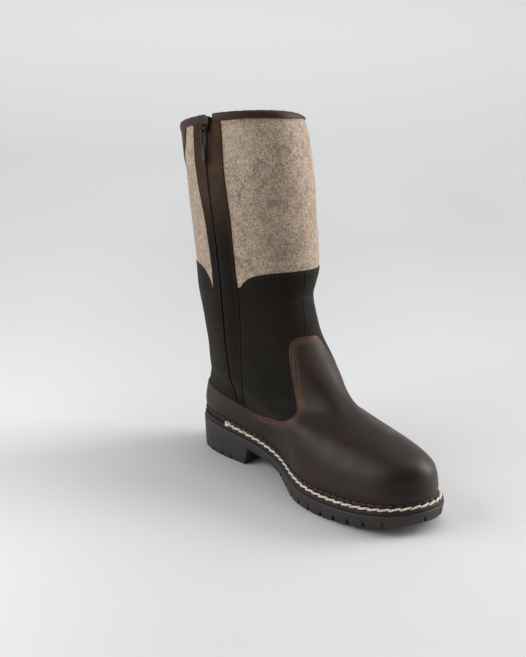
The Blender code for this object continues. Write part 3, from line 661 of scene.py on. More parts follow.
felt = felt_finish("felt", srgb(104, 84, 69), srgb(176, 157, 139), srgb(224, 208, 190))
vamp_leather = leather_finish("vamp_leather", srgb(21, 10, 7), srgb(30, 15, 10), srgb(42, 23, 16), (0.44, 0.57),
                              srgb(78, 48, 27), 10.0, specular=0.4).material
# the facings carry a painted shadow towards their foot
facing_leather = leather_finish("facing_leather", srgb(50, 36, 25), srgb(66, 49, 35), srgb(80, 62, 46), (0.52, 0.66),
                                srgb(70, 45, 28), 1.4, painted_foot_shadow=0.14, specular=0.1).material
binding_leather = leather_finish("binding_leather", srgb(42, 26, 19), srgb(56, 37, 29), srgb(70, 50, 41), (0.46, 0.6), specular=0.28).material
nubuck = nubuck_finish("nubuck", srgb(18, 15, 10), srgb(25, 21, 15), srgb(36, 30, 22))
lining_felt = felt_finish("lining", srgb(40, 30, 25), srgb(66, 52, 44), srgb(92, 76, 64))
insole_felt = felt_finish("insole_felt", srgb(110, 92, 78), srgb(158, 140, 122), srgb(190, 174, 156))
brown_thread = thread_finish("brown_thread", srgb(30, 19, 13), srgb(56, 36, 22), srgb(84, 57, 38))
dark_thread = thread_finish("dark_thread", srgb(14, 11, 9), srgb(24, 20, 16), srgb(42, 34, 28))
cream_thread = thread_finish("cream_thread", srgb(158, 141, 118), srgb(224, 214, 196), srgb(246, 240, 228))
bead_thread = thread_finish("bead_thread", srgb(26, 17, 13), srgb(46, 32, 26), srgb(72, 53, 43))


def rubber_finish(name):
    f = Finish(name)
    speck = f.noise(1100.0, 3.0, 0.6)
    slow = f.noise(30.0, 4.0, 0.6)
    colour = f.ramp(slow, ((0.3, srgb(33, 30, 28)), (0.5, srgb(41, 37, 35)), (0.7, srgb(50, 46, 43))))
    colour = f.mix(f.ramp(speck, ((0.55, 0.0), (0.72, 0.4))), colour, srgb(62, 57, 53))
    f.link(colour, "Base Color")
    f.link(f.ramp(slow, ((0.3, 0.5), (0.7, 0.66))), "Roughness")
    f.bump(slow, 0.12, 0.4)
    f.bump(speck, 0.04, 0.6)
    return f.material


def metal_finish(name, dark, light, gloss):
    f = Finish(name)
    brushed = f.noise(700.0, 3.0, 0.6, where=f.stretched((1.0, 1.0, 0.12)))
    worn = f.noise(190.0, 4.0, 0.6)
    f.link(f.mix(f.ramp(worn, ((0.45, 0.0), (0.68, 0.8))), f.ramp(brushed, ((0.3, dark), (0.7, light))), light), "Base Color")
    f.link(f.ramp(brushed, ((0.3, gloss[0]), (0.7, gloss[1]))), "Roughness")
    f.set(Metallic=1.0)
    f.bump(brushed, 0.03, 0.5)
    return f.material


rubber = rubber_finish("rubber")
black_metal = metal_finish("black_metal", srgb(34, 31, 29), srgb(66, 60, 55), (0.34, 0.5))
grey_metal = metal_finish("grey_metal", srgb(52, 48, 45), srgb(94, 88, 83), (0.3, 0.48))
welt_edge = leather_finish("welt_edge", srgb(24, 14, 10), srgb(34, 21, 15), srgb(48, 32, 23), (0.42, 0.6), grain=0.7).material


# ---------------------------------------------------------------- panels of the upper
END_STEPS = np.array([0.0, 0.14, 0.34, 0.62, 1.0, 1.5, 2.2, 3.1, 4.2])


def spaced(long, count, fine_low=True, fine_high=True):
    """Shares of a length for the rows of a panel, closer together at its edges."""
    long = np.asarray(long, float)[..., None]
    low = END_STEPS if fine_low else END_STEPS[:1]
    high = END_STEPS if fine_high else END_STEPS[:1]
    squeeze = np.minimum(1, 0.3 * long / END_STEPS[-1])
    head, tail = low * squeeze / long, 1 - high[::-1] * squeeze / long
    k = np.linspace(0, 1, count - len(low) - len(high) + 2)[1:-1]
    body = head[..., -1:] + (tail[..., :1] - head[..., -1:]) * k
    return np.concatenate([head, body, tail], -1)


def near_lines(points, lines):
    """Distance of each point from the nearest of some lines."""
    sample = []
    for line in lines:
        run = np.r_[0, np.cumsum(np.linalg.norm(np.diff(line, axis=0), axis=1))]
        at = np.arange(0, run[-1], 0.22)
        sample.append(np.stack([np.interp(at, run, line[:, k]) for k in range(3)], -1))
    sample = np.concatenate(sample)
    tree = KDTree(len(sample))
    for i, p in enumerate(sample):
        tree.insert(p, i)
    tree.balance()
    flat = points.reshape(-1, 3)
    return np.array([tree.find(p)[2] for p in flat]).reshape(points.shape[:-1])


def panel(name, turn, height, material, top, thick, edges, wrap=False, roll=0.8, seams=(), tone=None, values=None):
    """Piece of the upper on a grid of turns and heights. top: its outer face, edges: which borders show, seams: sewn lines as
    (distance from the edge, depth, width), tone: borders that the finish knows as its edge."""
    face = upper_face(turn, height)
    out = upper_normal(turn, height)
    uneven = relief(face, turn, height)
    borders = {"left": face[0], "right": face[-1], "low": face[:, 0], "high": face[:, -1]}

    def away_from(names):
        lines = [borders[e] for e in names]
        if wrap:
            lines = [np.concatenate([l, l[:1]]) for l in lines]
        return near_lines(face, lines) if lines else np.full(turn.shape, 99.0)

    d = away_from(edges)
    shown = d if tone is None else away_from(tone)
    k = np.clip(1 - d / roll, 0, 1)
    up = top - thick * (1 - np.sqrt(1 - k ** 2))
    for at, deep, wide in seams:
        up = up - deep * np.exp(-((shown - at) / wide) ** 2)
    front = face + out * (up + uneven)[..., None]
    back = face + out * (np.minimum(top - thick, up) - 0.25 + uneven)[..., None]
    return shell(name, front, back, material, wrap, {"edge": shown, "tall": height, **(values or {})})


def felt_low(turn):
    """Lower edge of the felt, where the leather begins."""
    turn = np.mod(turn, 2 * PI)
    front, back = 0.655 * PI, 0.497 * PI
    ahead = np.maximum(turn - front, 0) / PI
    behind = np.maximum(back - turn, 0) / PI
    edge_front = 0.598 - 0.022 * np.exp(-ahead / 0.16) - 0.028 * np.exp(-ahead / 0.03)
    edge_back = 0.60 - 0.081 * np.exp(-behind / 0.045)
    return np.where(turn > (front + back) / 2, edge_front, edge_back)


def vamp_high(turn):
    t = np.mod(turn, 2 * PI) / PI
    return np.where(t > 1, smooth(VAMP_EDGE_OUT, 2 - t), smooth(VAMP_EDGE, t))


def filled(left, right, low, high, columns, rows, fine=(True, True, True, True)):
    """Grid of turns and heights inside a panel's borders. left and right give the turn at a height, low and high the height
    at a turn; fine says which borders need close rows (left, right, low, high)."""
    mid = 0.5
    a = np.linspace(0, 1, columns)
    turn = np.repeat((left(np.array(mid)) + (right(np.array(mid)) - left(np.array(mid))) * a)[:, None], rows, 1)
    share = np.repeat(np.linspace(0, 1, rows)[None], columns, 0)
    for step in range(5):
        lo, hi = low(turn), high(turn)
        height = lo + (hi - lo) * share
        l, r = left(height), right(height)
        if step == 1:
            p = upper_face(turn, height)
            tall = np.linalg.norm(np.diff(p, axis=1), axis=-1).sum(1)
            wide = np.linalg.norm(np.diff(p, axis=0), axis=-1).sum(0)
            share = spaced(tall, rows, fine[2], fine[3])
            a = spaced(np.median(wide), columns, fine[0], fine[1])
        turn = l + (r - l) * a[:, None]
    lo, hi = low(turn), high(turn)
    return turn, lo + (hi - lo) * share


def facing_front_turn(height):
    return turn_at(spline(FACING_FRONT[:, 0], FACING_FRONT[:, 1], height), height)


def facing_back_turn(height):
    return beside(zip_turn(height), height, -np.interp(height, BACK_FACING[:, 0], BACK_FACING[:, 1]))


def slit_side(height, side):
    """Edge of the facing at the slit, and below the slit's foot the line where the two meet."""
    half = np.interp(height, (ZIP_FOOT - 0.012, ZIP_FOOT + 0.012), (0.12, FACING_GAP))
    return beside(zip_turn(height), height, side * half)


def strap_turn(height):
    return spline(BACK_STRAP[:, 0], BACK_STRAP[:, 1], height) * PI


pieces = []


def piece(obj, slot, *nodes, body="boot"):
    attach(obj, body)
    if nodes:
        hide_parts(*nodes)
    pieces.append(obj)
    return obj


FULL = 2 * PI

# felt shaft, under the leather at its edges
turn, height = filled(lambda h: beside(zip_turn(h), h, 6.5), lambda h: beside(zip_turn(h), h, -6.5) + FULL,
                      lambda t: felt_low(t) - 0.022, lambda t: np.full_like(t, 0.994), 300, 80, (True, True, False, False))
# slow tones of the wool with painted shade and painted light: the rows between 0.7 and 0.95 half turns paint the lamps'
# shade and light on the seen front, the others are slow tone changes; middle and reach in half turns and in height
# shares, darker above 0, lighter below 0
FELT_TONE_AND_PAINTED_SHADE = ((0.93, 0.06, 0.88, 0.10, 0.32), (0.90, 0.09, 0.66, 0.05, 0.20), (0.73, 0.06, 0.92, 0.07, -0.25), (0.82, 0.10, 0.74, 0.12, 0.10), (1.25, 0.10, 0.70, 0.08, 0.15),
              (1.55, 0.12, 0.85, 0.10, -0.25), (1.75, 0.08, 0.70, 0.09, 0.22))
shade = sum(tone * np.exp(-((np.mod(turn, FULL) / PI - t) / wide) ** 2 - ((height - h) / tall) ** 2) for t, wide, h, tall, tone in FELT_TONE_AND_PAINTED_SHADE)
piece(panel("felt_shaft", turn, height, felt, FELT_AT, 1.6, (), values={"shade": shade}), "upper_leather", "upper")

# quarters in nubuck: inner front one from the facing to the front seam, outer one from the seam to the back, rear one inside
FRONT_SEAM = np.array([     # height share, half turns
    (0.38, 0.93), (0.427, 0.944), (0.443, 0.958), (0.475, 0.99), (0.51, 1.004), (0.545, 1.008), (0.59, 0.996), (0.62, 0.992),
])


def seam_turn(height):
    return smooth(FRONT_SEAM, height) * PI


def under_vamp(turn):
    return np.maximum(vamp_high(turn) - 0.035, 0.02)


QUARTER_SEWN = ((2.6, 0.22, 0.7),)
turn, height = filled(lambda h: beside(facing_front_turn(h), h, -6.0), seam_turn, under_vamp, felt_low, 130, 84, (False, True, False, True))
piece(panel("inner_quarter", turn, height, nubuck, QUARTER_AT, 1.0, ("high", "right"), roll=0.55, seams=QUARTER_SEWN, tone=("high",)),
      "upper_leather")
turn, height = filled(seam_turn, lambda h: np.full_like(h, FULL), under_vamp, felt_low, 200, 84, (True, False, False, True))
piece(panel("outer_quarter", turn, height, nubuck, QUARTER_AT, 1.0, ("high", "left"), roll=0.55, seams=QUARTER_SEWN, tone=("high",)),
      "upper_leather")
turn, height = filled(lambda h: np.zeros_like(h), lambda h: beside(facing_back_turn(h), h, 6.0),
                      lambda t: np.full_like(t, 0.05), felt_low, 110, 84, (False, False, False, True))
piece(panel("rear_quarter", turn, height, nubuck, QUARTER_AT, 1.0, ("high",), roll=0.55, seams=QUARTER_SEWN), "upper_leather")

# facings of the zip
turn, height = filled(lambda h: slit_side(h, 1), facing_front_turn, lambda t: np.full_like(t, 0.055), lambda t: np.full_like(t, 0.992), 44, 190,
                      (True, True, False, False))
piece(panel("front_facing", turn, height, facing_leather, FACING_AT, 1.3, ("left", "right"), roll=0.6,
            seams=((2.4, 0.2, 0.7),), values={"burnish": (turn > (zip_turn(height) + facing_front_turn(height)) / 2) * np.clip((height - 0.5) / 0.1, 0, 1)}),
      "upper_leather")
front_facing_lines = turn, height
turn, height = filled(facing_back_turn, lambda h: slit_side(h, -1), lambda t: np.full_like(t, 0.055), lambda t: np.full_like(t, 0.992), 36, 190,
                      (True, True, False, False))
piece(panel("back_facing", turn, height, facing_leather, FACING_AT, 1.3, ("left", "right"), roll=0.6,
            seams=((2.4, 0.2, 0.7),), values={"burnish": (turn < (zip_turn(height) + facing_back_turn(height)) / 2) * np.clip((height - 0.5) / 0.1, 0, 1)}),
      "upper_leather")
back_facing_lines = turn, height

# leather over the back seam
turn, height = filled(lambda h: -strap_turn(h), strap_turn, lambda t: np.full_like(t, 0.06), lambda t: np.full_like(t, 0.992), 90, 150,
                      (True, True, False, False))
piece(panel("back_strap", turn, height, binding_leather, STRAP_AT, 1.2, ("left", "right"), roll=0.6, seams=((2.4, 0.2, 0.7),)), "upper_leather")
strap_lines = turn, height

# vamp and rand
edge_turn = np.linspace(0, FULL, 4001)
edge_run = np.r_[0, np.cumsum(np.linalg.norm(np.diff(upper_face(edge_turn, vamp_high(edge_turn)), axis=0), axis=1))]
base_run = np.r_[0, np.cumsum(np.linalg.norm(np.diff(upper_face(edge_turn, 0.03), axis=0), axis=1))]
VAMP_COLUMNS, VAMP_ROWS = 420, 96
turns = np.interp(np.linspace(0, 1, VAMP_COLUMNS, endpoint=False), (edge_run / edge_run[-1] + base_run / base_run[-1]) / 2, edge_turn)
high = vamp_high(turns)
tall = np.linalg.norm(np.diff(upper_face(turns[:, None], high[:, None] * np.linspace(0, 1, 40)), axis=1), axis=-1).sum(1)
share = spaced(tall, VAMP_ROWS, False, True)
turn, height = np.repeat(turns[:, None], VAMP_ROWS, 1), high[:, None] * share
piece(panel("vamp", turn, height, vamp_leather, VAMP_AT, 1.5, ("high",), wrap=True, roll=0.7,
            seams=((2.2, 0.26, 0.7), (5.4, 0.22, 0.7)), values={"burnish": np.clip((upper_face(turn, height)[..., 0] - 88) / 22, 0, 1)}), "upper_leather")

# lining
turn, height = filled(lambda h: beside(zip_turn(h), h, 2.0), lambda h: beside(zip_turn(h), h, -2.0) + FULL,
                      lambda t: np.full_like(t, 0.012), lambda t: np.full_like(t, 0.985), 150, 70, (False, False, False, False))
face, out = upper_face(turn, height), upper_normal(turn, height)
uneven = relief(face, turn, height)
inner_side = face + out * (LINING_AT + uneven)[..., None]
piece(shell("lining", face + out * (LINING_AT + 0.9 + uneven)[..., None], inner_side, lining_felt, False,
            {"edge": np.full(turn.shape, 9.0)}), "insole_lining")

# binding over the collar: it follows the rolled rim and is shallower at the outer front
BINDING = np.array([     # outwards, upwards from the rim
    (-0.9, -BINDING_DEPTH + 0.3), (0.2, -BINDING_DEPTH), (0.62, -BINDING_DEPTH + 0.35), (0.78, -BINDING_DEPTH + 1.0), (0.66, -BINDING_DEPTH + 1.9),
    (0.86, -BINDING_DEPTH + 2.8), (0.9, -1.9), (0.8, -0.8), (0.45, 0.35), (-0.2, 1.1), (-1.1, 1.5), (-2.1, 1.4), (-2.9, 0.8), (-3.35, -0.2),
    (-3.6, -2.0), (-3.65, -BINDING_DEPTH + 2.0), (-3.45, -BINDING_DEPTH + 1.0), (-3.1, -BINDING_DEPTH + 0.7), (-2.4, -BINDING_DEPTH + 1.0),
])
BINDING_THIN = 1.29, 0.19, 1.0         # middle and reach in half turns, share of the depth that is turned inwards there
SLIDER_CLEAR = 5.6
first = float(beside(zip_turn(np.array(0.99)), np.array(0.99), SLIDER_CLEAR))
last = float(beside(zip_turn(np.array(0.99)), np.array(0.99), -SLIDER_CLEAR)) + FULL
turns = np.linspace(first, last, 340)
rim_height = np.linalg.norm(slopes(turns, np.full_like(turns, 0.995))[1], axis=-1)      # millimetres for the whole height share
wave = 0.12 * np.sin(turns * 31) + 0.1 * np.sin(turns * 57 + 1)
lost = 1 - BINDING_THIN[2] * np.exp(-((turns / PI - BINDING_THIN[0]) / BINDING_THIN[1]) ** 2)
turned = np.where(BINDING[None, :, 0] > -1.0, lost[:, None], 2 - lost[:, None])
down = np.where(BINDING[None, :, 1] < 0, BINDING[None, :, 1] * turned, BINDING[None, :, 1]) + 0.6 * wave[:, None]
level = np.clip(1 + down / rim_height[:, None], 0, 1)
around = np.repeat(turns[:, None], len(BINDING), 1)
face, out = upper_face(around, level), upper_normal(around, np.minimum(level, 0.999))
tip = unit(upper_face(turns, 1.0) + upper_normal(turns, np.full_like(turns, 0.999)) * relief(upper_face(turns, 1.0), turns, np.ones_like(turns))[:, None]
           - upper_face(turns, 0.985) - upper_normal(turns, np.full_like(turns, 0.985)) * relief(upper_face(turns, 0.985), turns, np.full_like(turns, 0.985))[:, None])
ring = face + out * (BINDING[None, :, 0] + relief(face, around, level))[..., None] + tip[:, None] * np.maximum(down, 0)[..., None]
points, faces = tube(ring.mean(1), ring)
piece(quads_and_caps("collar_binding", points, faces, binding_leather, {"edge": np.full(len(points), 9.0)}), "upper_leather")

# stitching on the panels
vamp_line = edge_turn, vamp_high(edge_turn)
rows = [inset(*even(*vamp_line, 0.8), -1, d) for d in (2.2, 5.4)]
piece(stitches("vamp_stitching", rows, brown_thread, at=VAMP_AT - 0.22), "upper_leather")
rows = []
for t, h in (front_facing_lines, back_facing_lines):
    rows += [inset(t[0], h[0], -1, 2.4), inset(t[-1], h[-1], 1, 2.4)]
rows = [(t[(h > 0.1) & (h < 0.972)], h[(h > 0.1) & (h < 0.972)]) for t, h in rows]
piece(stitches("facing_stitching", rows, dark_thread, at=FACING_AT - 0.18), "upper_leather")
rows = []
t = np.linspace(0.665 * PI, 1.90 * PI, 900)
rows.append(inset(t, felt_low(t), -1, 2.6))
t = np.linspace(0.11 * PI, 0.485 * PI, 300)
rows.append(inset(t, felt_low(t), -1, 2.6))
piece(stitches("quarter_stitching", rows, dark_thread, at=QUARTER_AT - 0.18), "upper_leather")
t, h = strap_lines
rows = [inset(t[0], h[0], -1, 2.4), inset(t[-1], h[-1], 1, 2.4)]
rows = [(a[(b > 0.1) & (b < 0.972)], b[(b > 0.1) & (b < 0.972)]) for a, b in rows]
piece(stitches("strap_stitching", rows, brown_thread, at=STRAP_AT - 0.18), "upper_leather")

# ---------------------------------------------------------------- zip: tape, coil
heights = np.linspace(ZIP_FOOT + 0.004, 0.994, 200)
t = zip_turn(heights)
across = np.linspace(-2.6, 2.6, 7)
grid = beside(t[None], heights[None], across[:, None])
level = np.repeat(heights[None], 7, 0)
face, out = upper_face(grid, level), upper_normal(grid, level)
tape = shell("zip_tape", face + out * -1.7, face + out * -2.5, dark_thread)
piece(tape, "zip_coil", "zip_chain")
t, h = even(zip_turn(heights), heights, 1.5)
path, out = upper_face(t, h), upper_normal(t, h)
run, side, over = frames_along(path, out)
parts = []
body, faces = seed(2.5)
for k in range(len(path)):
    for s in (-1, 1):
        at = path[k] - over[k] * 1.25 + side[k] * 0.75 * s + run[k] * 0.75 * (s > 0)
        parts.append((at + body[:, :1] * side[k] + (body[:, 1:2] * run[k] * 0.5 + body[:, 2:] * over[k] * 0.6), faces))
points, faces, at_point, at_face = join(parts)
coil_finish = thread_finish("zip_coil", srgb(12, 11, 10), srgb(24, 22, 20), srgb(44, 40, 37))
piece(quads_and_caps("zip_coil", points, faces, coil_finish), "zip_coil")


# ---------------------------------------------------------------- slider and pull, in the part's own places
def axes_at(origin, out, up):
    z = Vector(out).normalized()
    x = Vector(up).cross(z).normalized()
    y = z.cross(x)
    return np.array([x, y, z]), np.array(origin, float)


slider_turn = float(zip_turn(np.array(SLIDER_AT)))
seat = upper_face(slider_turn, SLIDER_AT)
out = upper_normal(np.array(slider_turn), np.array(SLIDER_AT))
above, below = np.array(SLIDER_AT + 0.01), np.array(SLIDER_AT - 0.01)
run = upper_face(zip_turn(above), above) - upper_face(zip_turn(below), below)
REST = GAP + 0.25
slider_axes, slider_at = axes_at(seat + out * (REST + SLIDER_THICK / 2), out, run)
pull_axes, pull_at = axes_at(seat + out * (REST + SLIDER_THICK + 1.75) - run / np.linalg.norm(run) * (SLIDER_LONG * 0.22),
                             (out[0], out[1], 0.0), (0, 0, 1))


def placed(points, axes, at):
    return np.asarray(points) @ axes + at


def pillow(long, wide, thick, taper, n=22, m=30, power=4.5):
    """Rounded plate along Y; taper narrows its lower end."""
    u, v = np.linspace(-PI / 2, PI / 2, n), np.linspace(0, 2 * PI, m, endpoint=False)
    def se(w, p):
        return np.sign(w) * np.abs(w) ** (2 / p)
    cu, su = se(np.cos(u), 3.2), se(np.sin(u), 3.2)
    cv, sv = se(np.cos(v), power), se(np.sin(v), power)
    y = long / 2 * cu[:, None] * sv[None]
    x = wide / 2 * cu[:, None] * cv[None] * (1 - taper * (0.5 - y / long))
    z = np.repeat(thick / 2 * su[:, None], m, 1)
    ring = np.stack([x, y, z], -1)
    return tube(np.array([[0, 0, -thick / 2], [0, 0, thick / 2]]), ring)


def arch_path(radius, n=26):
    a = np.linspace(0, PI, n)
    p = np.c_[np.zeros(n), radius * np.cos(a), radius * np.sin(a)]
    return np.concatenate([[(0, radius, -2.6)], p, [(0, -radius, -2.6)]])


slider_parts = [pillow(SLIDER_LONG, SLIDER_WIDE, SLIDER_THICK * 0.5, 0.28)]
slider_parts[0] = (slider_parts[0][0] + (0, 0, SLIDER_THICK * 0.22), slider_parts[0][1])
lower = pillow(SLIDER_LONG * 0.94, SLIDER_WIDE * 0.94, SLIDER_THICK * 0.42, 0.28)
slider_parts.append((lower[0] - (0, 0, SLIDER_THICK * 0.27), lower[1]))
slider_parts = [(placed(p, slider_axes, slider_at), f) for p, f in slider_parts]
path = arch_path(BRIDGE_RADIUS)
bridge = round_wire(path, np.tile((1.0, 0, 0), (len(path), 1)), BRIDGE_WIRE, 10)
slider_parts.append((placed(bridge[0], pull_axes, pull_at), bridge[1]))
points, faces, at_point, at_face = join(slider_parts)
piece(quads_and_caps("slider", points, faces, black_metal), "slider_metal", "zip_slider")

a = np.linspace(0, 2 * PI, 64, endpoint=False)
loop = np.c_[LOOP_WIDE / 2 * np.sign(np.cos(a)) * np.abs(np.cos(a)) ** 0.7 * (1 - 0.22 * (1 - np.sin(a)) / 2),
             -LOOP_LONG / 2 + LOOP_LONG / 2 * np.sign(np.sin(a)) * np.abs(np.sin(a)) ** 0.8, np.zeros(64)]
loop_part = round_wire(loop, np.tile((0, 0, 1.0), (64, 1)), LOOP_WIRE, 10, closed=True)


def flat_tab():
    """Flat bar with round ends, a rolled head at the loop and a round hole near its tip."""
    top, tip = -LOOP_LONG + 1.2, -LOOP_LONG - TAB_LONG + 1.2
    hole_at = -LOOP_LONG - TAB_LONG + 3.4
    n = 48
    b = np.linspace(0, 2 * PI, n, endpoint=False)
    hole = np.c_[TAB_HOLE * np.cos(b), hole_at + TAB_HOLE * np.sin(b)]
    half = TAB_WIDE / 2
    rim = []
    for c, s in zip(np.cos(b), np.sin(b)):
        reach = np.inf
        if abs(c) > 1e-9:
            reach = min(reach, half / abs(c))
        limit = (top - hole_at) if s > 0 else (hole_at - tip)
        if abs(s) > 1e-9:
            reach = min(reach, limit / abs(s))
        rim.append((c * reach, hole_at + s * reach))
    rim = np.array(rim)
    # soften the corners of the outline
    for _ in range(2):
        rim = 0.5 * rim + 0.25 * (np.roll(rim, 1, 0) + np.roll(rim, -1, 0))
    half_thick = TAB_THICK / 2
    rings = []
    for k, z in ((0.0, half_thick - 0.1), (0.12, half_thick), (0.85, half_thick), (0.97, half_thick - 0.15), (1.0, half_thick - 0.4),
                 (1.0, 0.4 - half_thick), (0.97, 0.15 - half_thick), (0.85, -half_thick), (0.12, -half_thick), (0.0, 0.1 - half_thick)):
        xy = hole + (rim - hole) * k
        rings.append(np.c_[xy, np.full(n, z)])
    ring = np.array(rings)
    return ring.reshape(-1, 3), grid_faces(len(rings), n, True, True)


tab_part = flat_tab()
dots = []
for y in (-LOOP_LONG - 1.6, -LOOP_LONG + 0.2):
    for z in (1, -1):
        dot = pillow(1.9, 1.9, 0.5, 0.0, 8, 14, 2.0)
        dots.append((dot[0] + (0, y, z * TAB_THICK / 2), dot[1]))
points, faces, at_point, at_face = join([(placed(p, pull_axes, pull_at), f) for p, f in [loop_part, tab_part] + dots])
piece(quads_and_caps("pull", points, faces, grey_metal), "pull_metal", "zip_pull", body="zip_pull")


# ---------------------------------------------------------------- welt, its stitches, insole
def sole_outline(turns):
    share = (1 - np.cos(turns)) / 2
    sides = half_widths(share)
    return np.c_[SOLE_LENGTH * share, np.where(np.mod(turns, FULL) > PI, sides[:, 0], -sides[:, 1])]


def feather_line(turns):
    return upper_face(turns, 0.0)[:, :2]


def offset_loop(p, width):
    """Closed outline moved inwards."""
    way = unit(np.roll(p, -1, axis=0) - np.roll(p, 1, axis=0))
    return p + np.c_[-way[:, 1], way[:, 0]] * np.reshape(width, (-1, 1))


def nearest(points, line):
    """Distance of plane points from a line's points."""
    tree = KDTree(len(line))
    for i, q in enumerate(line):
        tree.insert((q[0], q[1], 0.0), i)
    tree.balance()
    return np.array([tree.find((q[0], q[1], 0.0))[2] for q in points])


ring = np.linspace(0, FULL, 480, endpoint=False)
outline, foot = sole_outline(ring), feather_line(ring)
feather = offset_loop(foot, WALL + 0.6)
welt_rim = offset_loop(sole_outline(np.linspace(0, FULL, 3000, endpoint=False)), WELT_INSET)
foot_line = feather_line(np.linspace(0, FULL, 3000, endpoint=False))
free = nearest(foot, welt_rim)                                  # welt beyond the upper's foot
WELT_PROFILE = ((0.5, -WELT_THICK), (0.1, -WELT_THICK + 0.35), (0.0, -WELT_THICK * 0.62), (0.22, -WELT_THICK * 0.5), (0.0, -WELT_THICK * 0.38),
                (0.1, -0.5), (0.45, -0.12), (0.9, 0.0), (1.7, -0.45), (2.6, -0.6), (3.5, -0.5))
levels = []
for inward, up in WELT_PROFILE:
    p = offset_loop(outline, WELT_INSET + inward * np.clip(nearest(outline, foot_line) / 6.0, 0.45, 1.0))
    levels.append(np.c_[p, welt_top(p[:, 0]) + up])
for up in (-0.1, -WELT_THICK):
    levels.append(np.c_[feather, welt_top(feather[:, 0]) + up])
welt_ring = np.array(levels).transpose(1, 0, 2)
welt = mesh_object("welt_strip", welt_ring, grid_faces(len(ring), len(levels), True, True), welt_edge,
                   {"edge": np.full(welt_ring.shape[:2], 9.0)})
piece(welt, "welt_leather", "welt")

# foot of the upper, turned out over the welt
FLANGE_TALL = 4.3
flange_out = np.clip(free - 4.3, 1.4, 4.9)
outward = -unit(offset_loop(foot, 1.0) - foot)
at_flange = upper_face(ring, 0.0135)
face_out = ((at_flange[:, :2] - foot) * outward).sum(1) + VAMP_AT      # where the vamp is at the flange's height
flange_out = np.maximum(flange_out, face_out + 0.7)
FLANGE_PROFILE = (      # share of the reach, added millimetres, height
    (0.0, -0.6, 0.15), (1.0, -0.35, 0.15), (1.0, 0.0, 0.7), (1.0, 0.05, FLANGE_TALL * 0.5), (1.0, -0.05, FLANGE_TALL * 0.75),
    (1.0, -0.4, FLANGE_TALL * 0.94), (1.0, -0.9, FLANGE_TALL), (0.62, 0.0, FLANGE_TALL + 0.25), (0.30, 0.0, FLANGE_TALL + 1.0),
    (0.0, -0.3, FLANGE_TALL + 1.9), (0.0, -1.2, FLANGE_TALL + 1.2),
)
levels = []
for share, add, up in FLANGE_PROFILE:
    reach = np.where(up > 2.0, face_out - 0.7, 0.0)
    reach = reach + (flange_out - reach) * share + add
    p = foot + outward * reach[:, None]
    levels.append(np.c_[p, welt_top(p[:, 0]) + up])
flange_ring = np.array(levels).transpose(1, 0, 2)[:, ::-1]
flange = mesh_object("turned_edge", flange_ring, grid_faces(len(ring), len(levels), True, True), vamp_leather,
                     {"edge": np.full(flange_ring.shape[:2], 99.0), "burnish": np.zeros(flange_ring.shape[:2])})
piece(flange, "upper_leather")


def welt_line(inward, up, start, stop, pitch):
    """Line along the welt at a distance from its edge, from one turn to another over the toe; less where the welt is narrow."""
    t = np.linspace(start, stop, 3000)
    p = sole_outline(t)
    way = unit(np.gradient(p, axis=0))
    room = nearest(p, foot_line) - WELT_INSET
    p = p + np.c_[-way[:, 1], way[:, 0]] * (WELT_INSET + np.minimum(inward, 0.40 * room))[:, None]
    p = np.c_[p, welt_top(p[:, 0]) + up]
    run = np.r_[0, np.cumsum(np.linalg.norm(np.diff(p, axis=0), axis=1))]
    at = np.linspace(0, run[-1], int(run[-1] / pitch) + 1)
    return np.stack([np.interp(at, run, p[:, k]) for k in range(3)], -1), at


def turn_of(x):
    return math.acos(1 - 2 * x / SOLE_LENGTH)


KNOT_X = 57.0
ROPE_AT, ROPE_UP = 2.5, 0.55
ROPE_PITCH, ROPE_LAY, ROPE_SLANT = 9.0, 11.0, 0.18
ROPE_WIDE, ROPE_TALL = 1.2, 1.1     # half sizes of one lay


def lay(length, sides=12, rows=20):
    """One lay of the rope, along X: full in the middle, drawn to a slanted tip at both ends."""
    s = np.linspace(-1, 1, rows)
    wide = np.clip(1 - np.abs(s) ** 2.6, 0, 1) ** 0.6 * 0.96 + 0.04
    a = np.linspace(0, FULL, sides, endpoint=False)
    ring = np.stack([np.repeat(s[:, None] * length / 2, sides, 1), wide[:, None] * np.cos(a), wide[:, None] * np.sin(a)], -1)
    return tube(np.c_[s * length / 2, np.zeros((rows, 2))], ring)


path, at = welt_line(ROPE_AT, ROPE_UP, turn_of(KNOT_X), FULL - turn_of(KNOT_X), 0.5)
run, side, over = frames_along(path, np.tile((0, 0, 1.0), (len(path), 1)))
parts = []
body, faces = lay(ROPE_LAY)
for middle in np.arange(ROPE_LAY / 2, at[-1] - ROPE_LAY / 2, ROPE_PITCH):
    reach = np.clip(middle + body[:, 0], 0, at[-1])
    def along(v):
        return np.stack([np.interp(reach, at, v[:, k]) for k in range(3)], -1)
    climb = body[:, :1] * ROPE_SLANT
    parts.append((along(path) + along(side) * (body[:, 1:2] * ROPE_WIDE - climb * 0.8) + along(over) * (body[:, 2:] * ROPE_TALL + climb * 0.6 + 0.4), faces))
for k in range(6):      # knot at the inner end
    a = np.linspace(0, FULL, 24, endpoint=False)
    tilt = k * 0.52
    p = path[4] + np.c_[3.2 * np.cos(a) * math.cos(tilt), 1.9 * np.sin(a), 1.6 * np.sin(a + tilt) + 1.2]
    parts.append(round_wire(p, unit(p - path[4] + (0, 0, 0.01)), 0.8, 8, closed=True))
points, faces, at_point, at_face = join(parts)
rope = quads_and_caps("rope_stitch", points, faces, cream_thread)
piece(rope, "welt_leather")

